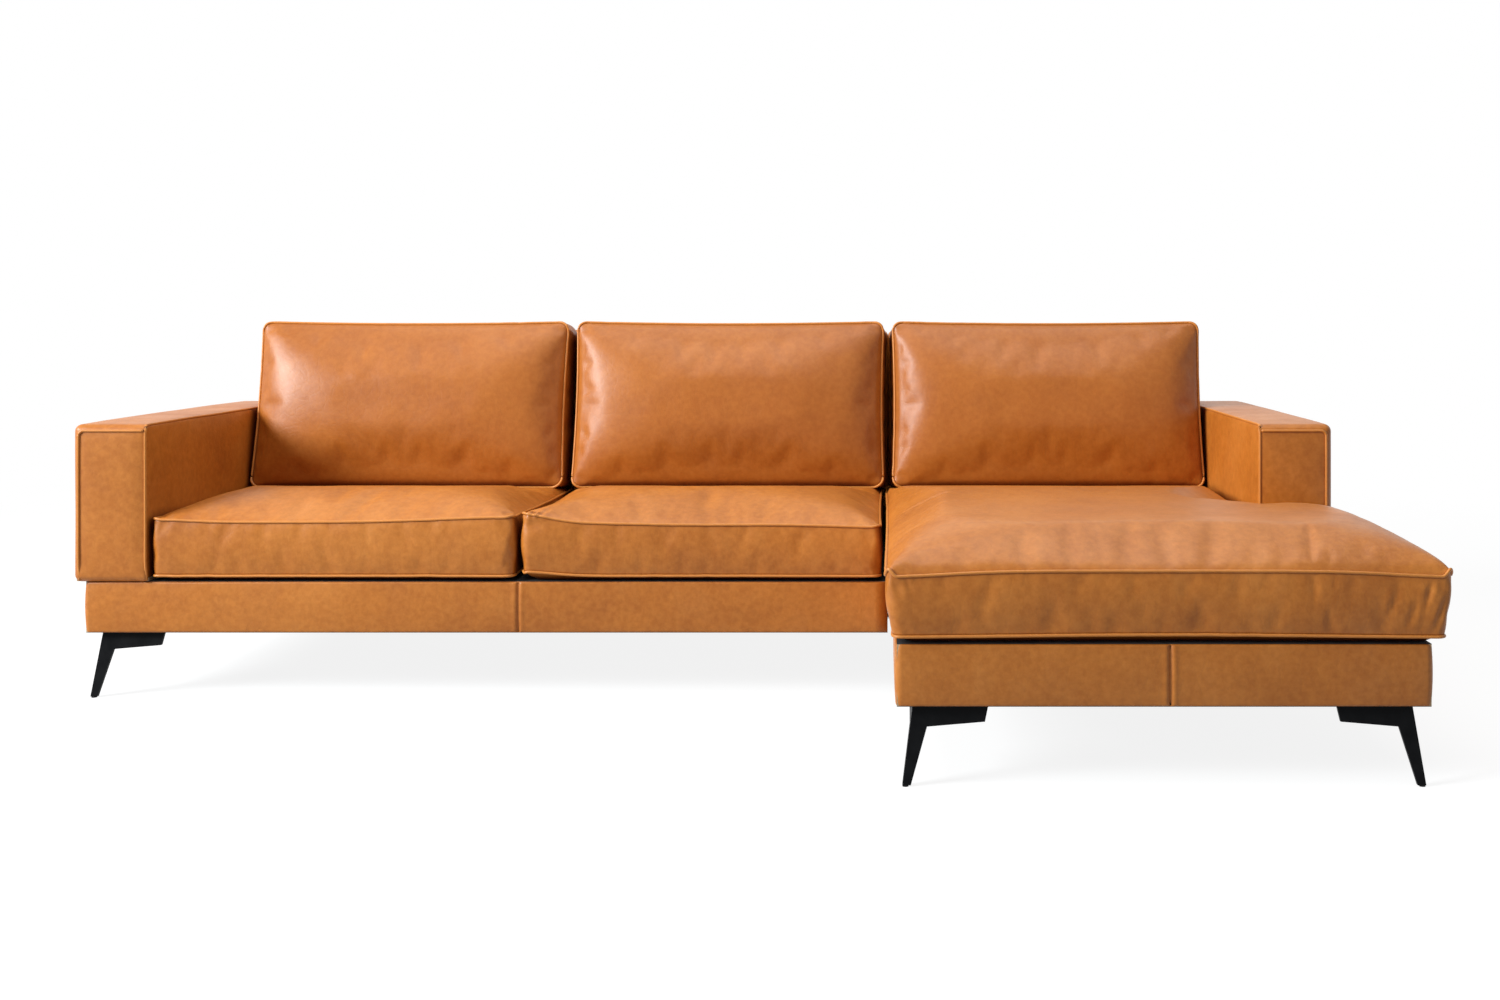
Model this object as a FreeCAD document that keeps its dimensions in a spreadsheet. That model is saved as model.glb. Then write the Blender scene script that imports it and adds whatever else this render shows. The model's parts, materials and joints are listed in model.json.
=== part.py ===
import FreeCAD, Part
import math
import os

import Sketcher
from FreeCAD import Placement, Rotation, Vector

os.makedirs("parts", exist_ok=True)

doc = FreeCAD.newDocument("corner_sofa")

# Driving dimensions, millimetres and degrees

SIZES = (
    ("seat_width", 858),
    ("main_depth", 960),
    ("chaise_extension", 690),
    ("chaise_overhang", 44),
    ("arm_width", 170),
    ("arm_rise", 365),
    ("arm_roll", 16),
    ("arm_overhang", 23),
    ("leg_height", 151),
    ("base_height", 119),
    ("base_setback", 12),
    ("main_joint_clearance", 1),
    ("chaise_joint_inset", 15),
    ("rail_thickness", 24),
    ("centre_rail_setback", 60),
    ("leather", 1.6),
    ("deck_cloth", 1.2),
    ("dust_cover", 1),
    ("corner_block_leg", 110),
    ("corner_block_depth", 60),
    ("springs_per_seat", 4),
    ("spring_wire", 3.8),
    ("spring_run", 30),
    ("spring_pitch", 44),
    ("spring_drop", 14),
    ("clip_sheet", 2),
    ("clip_width", 40),
    ("clip_rise", 16),
    ("arm_board", 18),
    ("arm_upright", 44),
    ("arm_cap_width", 116),
    ("arm_top_foam", 30),
    ("arm_end_foam", 14),
    ("back_height", 840),
    ("back_depth", 258),
    ("back_rake", 12),
    ("back_roll", 14),
    ("back_side_gap", 0.5),
    ("back_wadding", 12),
    ("rib_thickness", 18),
    ("back_rail_height", 80),
    ("webbing_thickness", 1.5),
    ("webbing_width", 60),
    ("webbing_rows", 4),
    ("leg_inset_side", 32),
    ("leg_inset_front", 20),
    ("leg_plate", 8),
    ("leg_arm_length", 144),
    ("leg_arm_end_slant", 7),
    ("leg_arm_end_drop", 32),
    ("leg_knee_width", 27),
    ("leg_knee_drop", 41),
    ("leg_splay", 20),
    ("foot_width", 16),
    ("leg_flange", 5),
    ("glide_radius", 6),
    ("glide_height", 3),
    ("bolt_radius", 3),
    ("bolt_head_radius", 6),
    ("bolt_head_height", 4),
    ("bolt_length", 38),
    ("bolt_along_arm", 95),
    ("bolt_from_edge", 24),
    ("strap_length", 160),
    ("strap_width", 50),
    ("strap_thickness", 4),
    ("strap_from_end", 190),
    ("seat_side_gap", 4),
    ("seat_rear_gap", 4),
    ("seat_joint_gap", 1.5),
    ("seat_lift", 0.3),
    ("seat_foot", 14),
    ("seat_foot_reach", 40),
    ("seat_boxing", 123),
    ("seat_crown", 36),
    ("seat_crown_reach", 235),
    ("seat_corner", 24),
    ("seat_corner_growth", 60),
    ("seat_draw", 5),
    ("seam_inset", 3),
    ("bearing_run", 310),
    ("bearing_rise", 5),
    ("chaise_left_overlap", 11),
    ("chaise_notch_gap", 3),
    ("back_cushion_height", 450),
    ("back_cushion_side_gap", 7),
    ("back_cushion_lift", 0.4),
    ("back_rest_gap", 0.4),
    ("back_foot", 14),
    ("back_foot_reach", 60),
    ("back_boxing", 150),
    ("back_crown", 42),
    ("back_crown_reach", 130),
    ("back_corner", 30),
    ("back_corner_growth", 25),
    ("back_draw", 7),
    ("core_clearance", 0.4),
)

sheet = doc.addObject("Spreadsheet::Sheet", "Sizes")
for row, (alias, number) in enumerate(SIZES, start=1):
    sheet.set(f"A{row}", alias)
    sheet.set(f"B{row}", str(number))
    sheet.setAlias(f"B{row}", alias)

# Places that follow from the sizes: origin on the floor at the middle of the plan

PLACES = (
    ("total_depth", "Sizes.main_depth + Sizes.chaise_extension"),
    ("y_rear", "total_depth / 2"),
    ("y_main_front", "y_rear - Sizes.main_depth"),
    ("y_chaise_front", "-total_depth / 2"),
    ("x_joint", "(Sizes.seat_width - Sizes.chaise_overhang) / 2"),
    ("x_split", "x_joint - Sizes.seat_width"),
    ("x_left_inner", "x_split - Sizes.seat_width"),
    ("x_left", "x_left_inner - Sizes.arm_width"),
    ("x_right_inner", "x_joint + Sizes.seat_width"),
    ("x_right", "x_right_inner + Sizes.arm_width"),
    ("z_deck", "Sizes.leg_height + Sizes.base_height"),
    ("z_rail", "Sizes.leg_height + Sizes.dust_cover"),
    ("rail_height", "Sizes.base_height - Sizes.dust_cover - Sizes.deck_cloth"),
    ("main_base_left", "x_left + Sizes.arm_overhang"),
    ("main_base_right", "x_joint - Sizes.main_joint_clearance"),
    ("chaise_base_left", "x_joint + Sizes.chaise_joint_inset"),
    ("chaise_base_right", "x_right"),
    ("main_base_front", "y_main_front + Sizes.base_setback"),
    ("chaise_base_front", "y_chaise_front + Sizes.base_setback"),
    ("base_rear", "y_rear - Sizes.base_setback"),
    ("y_centre_rail", "y_main_front + Sizes.centre_rail_setback"),
    ("back_lean", "tan(Sizes.back_rake * 1 deg)"),
    ("back_rise", "Sizes.back_height - z_deck"),
    ("y_back_foot", "y_rear - Sizes.back_depth"),
    ("arm_length", "Sizes.main_depth"),
    ("leg_drop", "Sizes.leg_height - Sizes.glide_height"),
)

places = doc.addObject("App::VarSet", "Places")
for name, formula in PLACES:
    places.addProperty("App::PropertyFloat", name)
    places.setExpression(name, formula)
doc.recompute()


def size(alias):
    """A driving dimension as a number."""
    return float(getattr(sheet, alias))


def place(name):
    """A derived place as a number."""
    return float(getattr(places, name))


def worked(formula):
    """The number that a formula of sizes and places gives."""
    result = places.evalExpression(formula)
    return float(getattr(result, "Value", result))


nodes = {}


def node(name, item):
    """Name a document object as one sub-part."""
    item.Label = name
    nodes[name] = item
    return item


# Helpers for square pieces, prisms and cuts


def move(item, x, y, z):
    """Bind an object's place to three formulas."""
    item.setExpression("Placement.Base.x", x)
    item.setExpression("Placement.Base.y", y)
    item.setExpression("Placement.Base.z", z)


def block(name, x, y, z, length, width, height):
    """A square-edged piece from its low corner and its three sizes."""
    item = doc.addObject("Part::Box", name)
    item.setExpression("Length", length)
    item.setExpression("Width", width)
    item.setExpression("Height", height)
    move(item, x, y, z)
    return item


def rod(name, x, y, z, radius, height):
    """An upright round piece."""
    item = doc.addObject("Part::Cylinder", name)
    item.setExpression("Radius", radius)
    item.setExpression("Height", height)
    move(item, x, y, z)
    return item


def cut(name, base, tool):
    """What is left of base where tool is taken away."""
    item = doc.addObject("Part::Cut", name)
    item.Base = base
    item.Tool = tool
    return item


def group(name, items):
    """Separate solids kept together as one set."""
    item = doc.addObject("Part::Compound", name)
    item.Links = items
    return item


def merged(name, items):
    """Several shapes joined, each touching set one solid."""
    item = doc.addObject("Part::MultiFuse", name)
    item.Shapes = items
    return item


def outline_sketch(body, name, role, points):
    """A closed sketch through points given as pairs of formulas."""
    sketch = body.newObject("Sketcher::SketchObject", name)
    plane = [f for f in body.Origin.OriginFeatures if f.Role == role][0]
    sketch.AttachmentSupport = [(plane, "")]
    sketch.MapMode = "FlatFace"
    corners = [Vector(worked(u), worked(v), 0) for u, v in points]
    count = len(corners)
    for index in range(count):
        line = Part.LineSegment(corners[index], corners[(index + 1) % count])
        sketch.addGeometry(line)
    for index in range(count):
        sketch.addConstraint(Sketcher.Constraint("Coincident", index, 2, (index + 1) % count, 1))
    for index, corner in enumerate(corners):
        across = sketch.addConstraint(
            Sketcher.Constraint("DistanceX", -1, 1, index, 1, corner.x))
        sketch.renameConstraint(across, f"across{index}")
        sketch.setExpression(f"Constraints.across{index}", points[index][0])
        along = sketch.addConstraint(
            Sketcher.Constraint("DistanceY", -1, 1, index, 1, corner.y))
        sketch.renameConstraint(along, f"along{index}")
        sketch.setExpression(f"Constraints.along{index}", points[index][1])
    return sketch


def prism(name, role, points, depth, x="0", y="0", z="0"):
    """A body padded from an outline on one of its own planes."""
    body = doc.addObject("PartDesign::Body", name)
    sketch = outline_sketch(body, f"{name}_outline", role, points)
    pad = body.newObject("PartDesign::Pad", f"{name}_pad")
    pad.Profile = sketch
    pad.setExpression("Length", depth)
    move(body, x, y, z)
    return body


def top_rolled(name, role, points, depth, roll, low, x="0", y="0", z="0"):
    """A prism whose edges above the height low are rounded, its lower edges left square."""
    body = prism(name, role, points, depth, x, y, z)
    doc.recompute()
    pad = body.Tip
    names = []
    for number, edge in enumerate(pad.Shape.Edges, start=1):
        if edge.BoundBox.ZMax > low:
            names.append(f"Edge{number}")
    fillet = body.newObject("PartDesign::Fillet", f"{name}_roll")
    fillet.Base = (pad, names)
    fillet.setExpression("Radius", roll)
    body.Tip = fillet
    return body


# Base rails, their leather borders, deck cloths and dust covers


def rail(name, x, y, length, width):
    """One hardwood rail on edge between dust cover and deck cloth."""
    return node(name, block(name, x, y, "Places.z_rail", length, width, "Places.rail_height"))


def border(name, x, y, length, width):
    """One leather face of the base."""
    return node(name, block(name, x, y, "Sizes.leg_height", length, width, "Sizes.base_height"))


def bearing_frame(label, left, right, front, right_skin):
    """Four rails round one module and the formulas of its inner bay."""
    timber = "Sizes.rail_thickness"
    inside_left = f"({left} + Sizes.leather)"
    inside_right = f"({right} - {right_skin})"
    inside_front = f"({front} + Sizes.leather)"
    inside_rear = "(Places.base_rear - Sizes.leather)"
    long = f"{inside_right} - {inside_left}"
    short = f"{inside_rear} - {inside_front} - 2 * {timber}"
    rail(f"{label}_front_rail", inside_left, inside_front, long, timber)
    rail(f"{label}_rear_rail", inside_left, f"{inside_rear} - {timber}", long, timber)
    rail(f"{label}_left_rail", inside_left, f"{inside_front} + {timber}", timber, short)
    rail(f"{label}_right_rail", f"{inside_right} - {timber}", f"{inside_front} + {timber}",
         timber, short)
    return inside_left, inside_right, inside_front, inside_rear


main_frame = bearing_frame(
    "main", "Places.main_base_left", "Places.main_base_right", "Places.main_base_front", "0")
chaise_frame = bearing_frame(
    "chaise", "Places.chaise_base_left", "Places.chaise_base_right", "Places.chaise_base_front",
    "Sizes.leather")

rail("main_centre_rail", "Places.x_split - Sizes.rail_thickness / 2",
     f"{main_frame[2]} + Sizes.rail_thickness", "Sizes.rail_thickness",
     f"{main_frame[3]} - {main_frame[2]} - 2 * Sizes.rail_thickness")
rail("chaise_centre_rail", f"{chaise_frame[0]} + Sizes.rail_thickness", "Places.y_centre_rail",
     f"{chaise_frame[1]} - {chaise_frame[0]} - 2 * Sizes.rail_thickness", "Sizes.rail_thickness")


def borders(label, left, right, front, both_sides):
    """The leather faces round one module, mitred to nothing at the corners."""
    wide = f"{right} - {left}"
    deep = f"Places.base_rear - {front} - 2 * Sizes.leather"
    border(f"{label}_front_border", left, front, wide, "Sizes.leather")
    border(f"{label}_rear_border", left, "Places.base_rear - Sizes.leather", wide, "Sizes.leather")
    border(f"{label}_left_border", left, f"{front} + Sizes.leather", "Sizes.leather", deep)
    if both_sides:
        border(f"{label}_right_border", f"{right} - Sizes.leather", f"{front} + Sizes.leather",
               "Sizes.leather", deep)


borders("main", "Places.main_base_left", "Places.main_base_right", "Places.main_base_front", False)
borders("chaise", "Places.chaise_base_left", "Places.chaise_base_right",
        "Places.chaise_base_front", True)


def cloth(name, frame, z, thickness):
    """A flat sheet over the whole plan of one frame of rails."""
    left, right, front, rear = frame
    return block(name, left, front, z, f"{right} - {left}", f"{rear} - {front}", thickness)


for label, frame in (("main", main_frame), ("chaise", chaise_frame)):
    node(f"{label}_deck_cloth",
         cloth(f"{label}_deck_cloth", frame, "Places.z_deck - Sizes.deck_cloth",
               "Sizes.deck_cloth"))

# Corners: each is the rails' inner corner and the two directions that point inwards

CORNERS = (
    ("main_front_left", main_frame, "left", "front"),
    ("main_rear_left", main_frame, "left", "rear"),
    ("main_rear_right", main_frame, "right", "rear"),
    ("chaise_front_left", chaise_frame, "left", "front"),
    ("chaise_front_right", chaise_frame, "right", "front"),
    ("chaise_rear_left", chaise_frame, "left", "rear"),
    ("chaise_rear_right", chaise_frame, "right", "rear"),
)
INWARD = {"left": 1, "right": -1, "front": 1, "rear": -1}


def corner_formulas(frame, side, end):
    """The outer corner of a frame of rails and the signs of its inward directions."""
    x = frame[0] if side == "left" else frame[1]
    y = frame[2] if end == "front" else frame[3]
    return x, y, INWARD[side], INWARD[end]


# Bolts: two up through each leg's flange, two through each strap between the modules

shanks = []
bolts = []


def bolt(name, x, y, seat):
    """A round-headed bolt whose head bears up against the height seat."""
    shank = rod(f"{name}_shank", x, y, seat, "Sizes.bolt_radius", "Sizes.bolt_length")
    head = rod(f"{name}_head", x, y, f"{seat} - Sizes.bolt_head_height",
               "Sizes.bolt_head_radius", "Sizes.bolt_head_height")
    shanks.append(shank)
    bolts.extend([shank, head])


for name, frame, side, end in CORNERS:
    x, y, sx, sy = corner_formulas(frame, side, end)
    leg_x = f"{x} + {sx} * (Sizes.leg_inset_side - Sizes.leather)"
    leg_y = f"{y} + {sy} * (Sizes.leg_inset_front - Sizes.leather)"
    for number, (along, across) in enumerate(
            (("Sizes.bolt_along_arm", "Sizes.bolt_from_edge"),
             ("Sizes.bolt_from_edge", "Sizes.bolt_along_arm"))):
        bolt(f"{name}_bolt{number}", f"{leg_x} + {sx} * {along}", f"{leg_y} + {sy} * {across}",
             "Sizes.leg_height - Sizes.leg_flange")
leg_shank_count = len(shanks)

straps = []
STRAP_ENDS = (
    ("front", "Places.main_base_front + Sizes.strap_from_end"),
    ("rear", "Places.base_rear - Sizes.strap_from_end - Sizes.strap_width"),
)
for end, y in STRAP_ENDS:
    middle = "(Places.main_base_right + Places.chaise_base_left) / 2"
    strap = block(f"strap_{end}", f"{middle} - Sizes.strap_length / 2", y,
                  "Sizes.leg_height - Sizes.strap_thickness", "Sizes.strap_length",
                  "Sizes.strap_width", "Sizes.strap_thickness")
    straps.append(strap)
    for side, x in (("main", f"{main_frame[1]} - Sizes.rail_thickness / 2"),
                    ("chaise", f"{chaise_frame[0]} + Sizes.rail_thickness / 2")):
        bolt(f"strap_{end}_{side}", x, f"{y} + Sizes.strap_width / 2",
             "Sizes.leg_height - Sizes.strap_thickness")

all_shanks = merged("all_shanks", shanks)
leg_shanks = merged("leg_shanks", shanks[:leg_shank_count])
strap_shanks = merged("strap_shanks", shanks[leg_shank_count:])
node("frame_bolts", merged("frame_bolts", bolts))
node("connector_straps", cut("connector_straps", group("strap_blanks", straps), strap_shanks))

for rail_name in ("main_right_rail", "chaise_left_rail"):
    solid_rail = nodes[rail_name]
    solid_rail.Label = f"{rail_name}_blank"
    node(rail_name, cut(f"{rail_name}_bored", solid_rail, strap_shanks))

for label, frame in (("main", main_frame), ("chaise", chaise_frame)):
    blank = cloth(f"{label}_dust_sheet", frame, "Sizes.leg_height", "Sizes.dust_cover")
    node(f"{label}_dust_cover", cut(f"{label}_dust_cover", blank, all_shanks))

blocks = []
block_corners = CORNERS + (("main_front_right", main_frame, "right", "front"),)
for name, frame, side, end in block_corners:
    x, y, sx, sy = corner_formulas(frame, side, end)
    inner = "Sizes.rail_thickness"
    triangle = (
        (f"{sx} * {inner}", f"{sy} * {inner}"),
        (f"{sx} * ({inner} + Sizes.corner_block_leg)", f"{sy} * {inner}"),
        (f"{sx} * {inner}", f"{sy} * ({inner} + Sizes.corner_block_leg)"),
    )
    blocks.append(prism(f"{name}_block", "XY_Plane", triangle, "Sizes.corner_block_depth",
                        x, y, "Places.z_rail"))
node("corner_blocks", cut("corner_blocks", group("corner_block_blanks", blocks), leg_shanks))

# Legs: two leaning plates that meet on the corner line, under one flange


def leaning_plate(profile, lean, thickness, swap, sx, sy):
    """A plate of the given profile that leans outwards as it goes down."""
    rims = []
    for shift in (0, thickness):
        corners = []
        for u, drop in profile:
            v = shift - lean * drop
            x, y = (v, u) if swap else (u, v)
            corners.append(Vector(sx * x, sy * y, -drop))
        rims.append(Part.makePolygon(corners + corners[:1]))
    return Part.makeLoft(rims, True, True)


def leg_shape(sx, sy):
    """One corner leg, its outer top corner at the origin."""
    drop = place("leg_drop")
    splay = size("leg_splay")
    reach = size("leg_arm_length")
    profile = (
        (0, 0),
        (reach, 0),
        (reach - size("leg_arm_end_slant"), size("leg_arm_end_drop")),
        (size("leg_knee_width"), size("leg_knee_drop")),
        (size("foot_width") - splay, drop),
        (-splay, drop),
    )
    lean = splay / drop
    thickness = size("leg_plate")
    front = leaning_plate(profile, lean, thickness, False, sx, sy)
    side = leaning_plate(profile, lean, thickness, True, sx, sy)
    flange_rim = [Vector(0, 0, 0), Vector(sx * reach, 0, 0), Vector(0, sy * reach, 0)]
    flange_face = Part.Face(Part.makePolygon(flange_rim + flange_rim[:1]))
    flange = flange_face.extrude(Vector(0, 0, -size("leg_flange")))
    leg = front.fuse([side, flange]).removeSplitter()
    for along, across in (("bolt_along_arm", "bolt_from_edge"),
                          ("bolt_from_edge", "bolt_along_arm")):
        foot = Vector(sx * size(along), sy * size(across), -size("leg_flange"))
        leg = leg.cut(Part.makeCylinder(size("bolt_radius"), size("leg_flange"), foot))
    return leg


glides = []
for name, frame, side, end in CORNERS:
    x, y, sx, sy = corner_formulas(frame, side, end)
    leg_x = f"{x} + {sx} * (Sizes.leg_inset_side - Sizes.leather)"
    leg_y = f"{y} + {sy} * (Sizes.leg_inset_front - Sizes.leather)"
    leg = doc.addObject("Part::Feature", f"{name}_leg")
    leg.Shape = leg_shape(sx, sy).Solids[0]
    move(leg, leg_x, leg_y, "Sizes.leg_height")
    node(f"{name}_leg", leg)
    glides.append(rod(f"{name}_glide",
                      f"{leg_x} + {sx} * (Sizes.glide_radius - Sizes.leg_splay)",
                      f"{leg_y} + {sy} * (Sizes.glide_radius - Sizes.leg_splay)",
                      "0", "Sizes.glide_radius", "Sizes.glide_height"))
node("leg_glides", group("leg_glides", glides))

# Seat springs: flat zigzag wires from front to rear, held in clips on the rails


def spring_shape(span, wanted_pitch, run, wire):
    """A zigzag wire along +Y whose first and last runs lie a wire's radius inside the span."""
    rows = max(2, round((span - wire) / wanted_pitch)) + 1
    pitch = (span - wire) / (rows - 1)
    edges = []
    turn = pitch / 2
    for row in range(rows):
        y = wire / 2 + row * pitch
        way = 1 if row % 2 == 0 else -1
        start = Vector(-way * run / 2, y, 0)
        end = Vector(way * run / 2, y, 0)
        edges.append(Part.LineSegment(start, end).toShape())
        if row < rows - 1:
            middle = Vector(way * (run / 2 + turn), y + turn, 0)
            after = Vector(way * run / 2, y + pitch, 0)
            edges.append(Part.Arc(end, middle, after).toShape())
    path = Part.Wire(edges)
    ring = Part.makeCircle(wire / 2, Vector(-run / 2, wire / 2, 0), Vector(1, 0, 0))
    spring = path.makePipeShell([Part.Wire([ring])], True, False)
    expected = math.pi * (wire / 2) ** 2 * path.Length
    if abs(spring.Volume - expected) > 0.01 * expected:
        raise ValueError("a seat spring is not its wire's volume")
    return spring


def clip_shape(width, rise, sheet_thickness, wire):
    """A folded clip: an upright against the rail and a lip under the wire, towards +Y."""
    upright = Part.makeBox(width, sheet_thickness, rise, Vector(-width / 2, 0, -rise / 2))
    lip_height = -wire / 2 - sheet_thickness
    lip = Part.makeBox(width, 2 * wire, sheet_thickness,
                       Vector(-width / 2, sheet_thickness, lip_height))
    return upright.fuse(lip).removeSplitter()


def spring_bay(left, right, front, rear, count):
    """The springs and clips of one bay, its rails' inner faces at front and rear."""
    springs = []
    clips = []
    wire = size("spring_wire")
    sheet_thickness = size("clip_sheet")
    height = place("z_deck") - size("deck_cloth") - size("spring_drop")
    spring = spring_shape(rear - front - 2 * sheet_thickness, size("spring_pitch"),
                          size("spring_run"), wire)
    clip = clip_shape(size("clip_width"), size("clip_rise"), sheet_thickness, wire)
    for number in range(count):
        x = left + (number + 0.5) * (right - left) / count
        springs.append(spring.translated(Vector(x, front + sheet_thickness, height)))
        clips.append(clip.translated(Vector(x, front, height)))
        turned = clip.rotated(Vector(0, 0, 0), Vector(0, 0, 1), 180)
        clips.append(turned.translated(Vector(x, rear, height)))
    return springs, clips


timber = size("rail_thickness")
count = int(size("springs_per_seat"))
main_left, main_right, main_front, frame_rear = [worked(f) for f in main_frame]
chaise_left, chaise_right, chaise_front, _ = [worked(f) for f in chaise_frame]
centre_rail = place("y_centre_rail")
half = timber / 2
BAYS = (
    (main_left + timber, place("x_split") - half, main_front + timber, frame_rear - timber),
    (place("x_split") + half, main_right - timber, main_front + timber, frame_rear - timber),
    (chaise_left + timber, chaise_right - timber, chaise_front + timber, centre_rail),
    (chaise_left + timber, chaise_right - timber, centre_rail + timber, frame_rear - timber),
)
seat_springs = []
spring_clips = []
for left, right, front, rear in BAYS:
    springs, clips = spring_bay(left, right, front, rear, count)
    seat_springs.extend(springs)
    spring_clips.extend(clips)
for name, shapes in (("seat_springs", seat_springs), ("spring_clips", spring_clips)):
    item = doc.addObject("Part::Feature", name)
    item.Shape = Part.makeCompound(shapes)
    node(name, item)

# Arms: a timber frame in foam under a leather cover, standing on the deck


def arm_section(inset):
    """The square outline of an arm seen from the front, smaller by inset at sides and top."""
    return (
        (inset, "0"),
        (f"Sizes.arm_width - {inset}", "0"),
        (f"Sizes.arm_width - {inset}", f"Sizes.arm_rise - {inset}"),
        (inset, f"Sizes.arm_rise - {inset}"),
    )


def arm_block(name, left, inset):
    """A solid arm with rolled edges, its ends drawn in by inset too."""
    return top_rolled(name, "XZ_Plane", arm_section(inset),
                      f"Places.arm_length - 2 * {inset}", f"Sizes.arm_roll - {inset}",
                      0.5 * size("arm_rise"), left, f"Places.y_rear - {inset}", "Places.z_deck")


def arm_frame(name, left):
    """Base board, upright and cap glued up as one timber frame."""
    board = "Sizes.arm_board"
    skin = "Sizes.leather"
    middle = "Sizes.arm_width / 2"
    web = "Sizes.arm_upright / 2"
    cap = "Sizes.arm_cap_width / 2"
    cap_top = f"Sizes.arm_rise - {skin} - Sizes.arm_top_foam"
    outline = (
        (skin, "0"),
        (f"Sizes.arm_width - {skin}", "0"),
        (f"Sizes.arm_width - {skin}", board),
        (f"{middle} + {web}", board),
        (f"{middle} + {web}", f"{cap_top} - {board}"),
        (f"{middle} + {cap}", f"{cap_top} - {board}"),
        (f"{middle} + {cap}", cap_top),
        (f"{middle} - {cap}", cap_top),
        (f"{middle} - {cap}", f"{cap_top} - {board}"),
        (f"{middle} - {web}", f"{cap_top} - {board}"),
        (f"{middle} - {web}", board),
        (skin, board),
    )
    length = f"Places.arm_length - 2 * {skin} - 2 * Sizes.arm_end_foam"
    return prism(name, "XZ_Plane", outline, length, left,
                 f"Places.y_rear - {skin} - Sizes.arm_end_foam", "Places.z_deck")


for side, left in (("left", "Places.x_left"), ("right", "Places.x_right_inner")):
    name = f"{side}_arm"
    frame = node(f"{name}_frame", arm_frame(f"{name}_frame", left))
    filling = arm_block(f"{name}_filling", left, "Sizes.leather")
    skin = arm_block(f"{name}_skin", left, "0")
    node(f"{name}_padding", cut(f"{name}_padding", filling, frame))
    node(f"{name}_cover", cut(f"{name}_cover", skin, filling))

# Backs: ribs, rails and webbing under a leather cover whose front face leans


def back_section(inset):
    """A back's outline seen from the right, smaller by inset at front, top and rear."""
    slope = f"{inset} / cos(Sizes.back_rake * 1 deg)"
    head = f"Places.back_rise - {inset}"
    return (
        (f"Places.y_back_foot + {slope}", "0"),
        (f"Places.y_rear - {inset}", "0"),
        (f"Places.y_rear - {inset}", head),
        (f"Places.y_back_foot + {slope} + ({head}) * Places.back_lean", head),
    )


def back(label, left, right, rib_places):
    """One module's back from left to right."""
    gap = "Sizes.back_side_gap"
    skin = "Sizes.leather"
    wadding = "(Sizes.leather + Sizes.back_wadding)"
    name = f"{label}_back"
    wide = f"{right} - {left} - 2 * {gap}"
    low = 0.5 * place("back_rise")
    outer = top_rolled(f"{name}_skin", "YZ_Plane", back_section("0"), wide,
                       "Sizes.back_roll", low, f"{left} + {gap}", "0", "Places.z_deck")
    inner = top_rolled(f"{name}_filling", "YZ_Plane", back_section(skin), f"{wide} - 2 * {skin}",
                       f"Sizes.back_roll - {skin}", low, f"{left} + {gap} + {skin}", "0",
                       "Places.z_deck")
    node(f"{name}_cover", cut(f"{name}_cover", outer, inner))

    ribs = []
    for number, x in enumerate(rib_places):
        ribs.append(prism(f"{name}_rib{number}", "YZ_Plane", back_section(wadding),
                          "Sizes.rib_thickness", x, "0", "Places.z_deck"))
    spans = []
    head = f"Places.z_deck + Places.back_rise - {wadding}"
    rail_y = f"Places.y_rear - {wadding} - Sizes.rail_thickness"
    for number in range(len(rib_places) - 1):
        start = f"{rib_places[number]} + Sizes.rib_thickness"
        span = f"{rib_places[number + 1]} - ({start})"
        for level, z in (("low", "Places.z_deck"),
                         ("high", f"{head} - Sizes.back_rail_height")):
            spans.append(block(f"{name}_{level}_rail{number}", start, rail_y, z, span,
                               "Sizes.rail_thickness", "Sizes.back_rail_height"))
    node(f"{name}_ribs", group(f"{name}_ribs", ribs))
    node(f"{name}_rails", group(f"{name}_rails", spans))

    straps = []
    first = f"{rib_places[0]} + Sizes.rib_thickness / 2"
    length = f"{rib_places[-1]} + Sizes.rib_thickness / 2 - ({first})"
    rows = int(size("webbing_rows"))
    face = f"{wadding} / cos(Sizes.back_rake * 1 deg)"
    thickness = "Sizes.webbing_thickness / cos(Sizes.back_rake * 1 deg)"
    for row in range(rows):
        middle = f"({row + 1} * (Places.back_rise - {wadding}) / {rows + 1})"
        low_edge = f"{middle} - Sizes.webbing_width / 2"
        high_edge = f"{middle} + Sizes.webbing_width / 2"
        foot = f"Places.y_back_foot + {face}"
        outline = (
            (f"{foot} + ({low_edge}) * Places.back_lean - {thickness}", low_edge),
            (f"{foot} + ({low_edge}) * Places.back_lean", low_edge),
            (f"{foot} + ({high_edge}) * Places.back_lean", high_edge),
            (f"{foot} + ({high_edge}) * Places.back_lean - {thickness}", high_edge),
        )
        straps.append(prism(f"{name}_web{row}", "YZ_Plane", outline, length, first, "0",
                            "Places.z_deck"))
    node(f"{name}_webbing", group(f"{name}_webbing", straps))


edge = "(Sizes.back_side_gap + Sizes.leather)"
back("main", "Places.x_left_inner", "Places.x_joint", (
    f"Places.x_left_inner + {edge}",
    "Places.x_split - Sizes.rib_thickness / 2",
    f"Places.x_joint - {edge} - Sizes.rib_thickness",
))
back("chaise", "Places.x_joint", "Places.x_right_inner", (
    f"Places.x_joint + {edge}",
    f"Places.x_right_inner - {edge} - Sizes.rib_thickness",
))

# Loose cushions: rounded outlines nested by height, lofted from seam to seam

CROWN_STEPS = 5
FOOT_STEPS = 2


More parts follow.
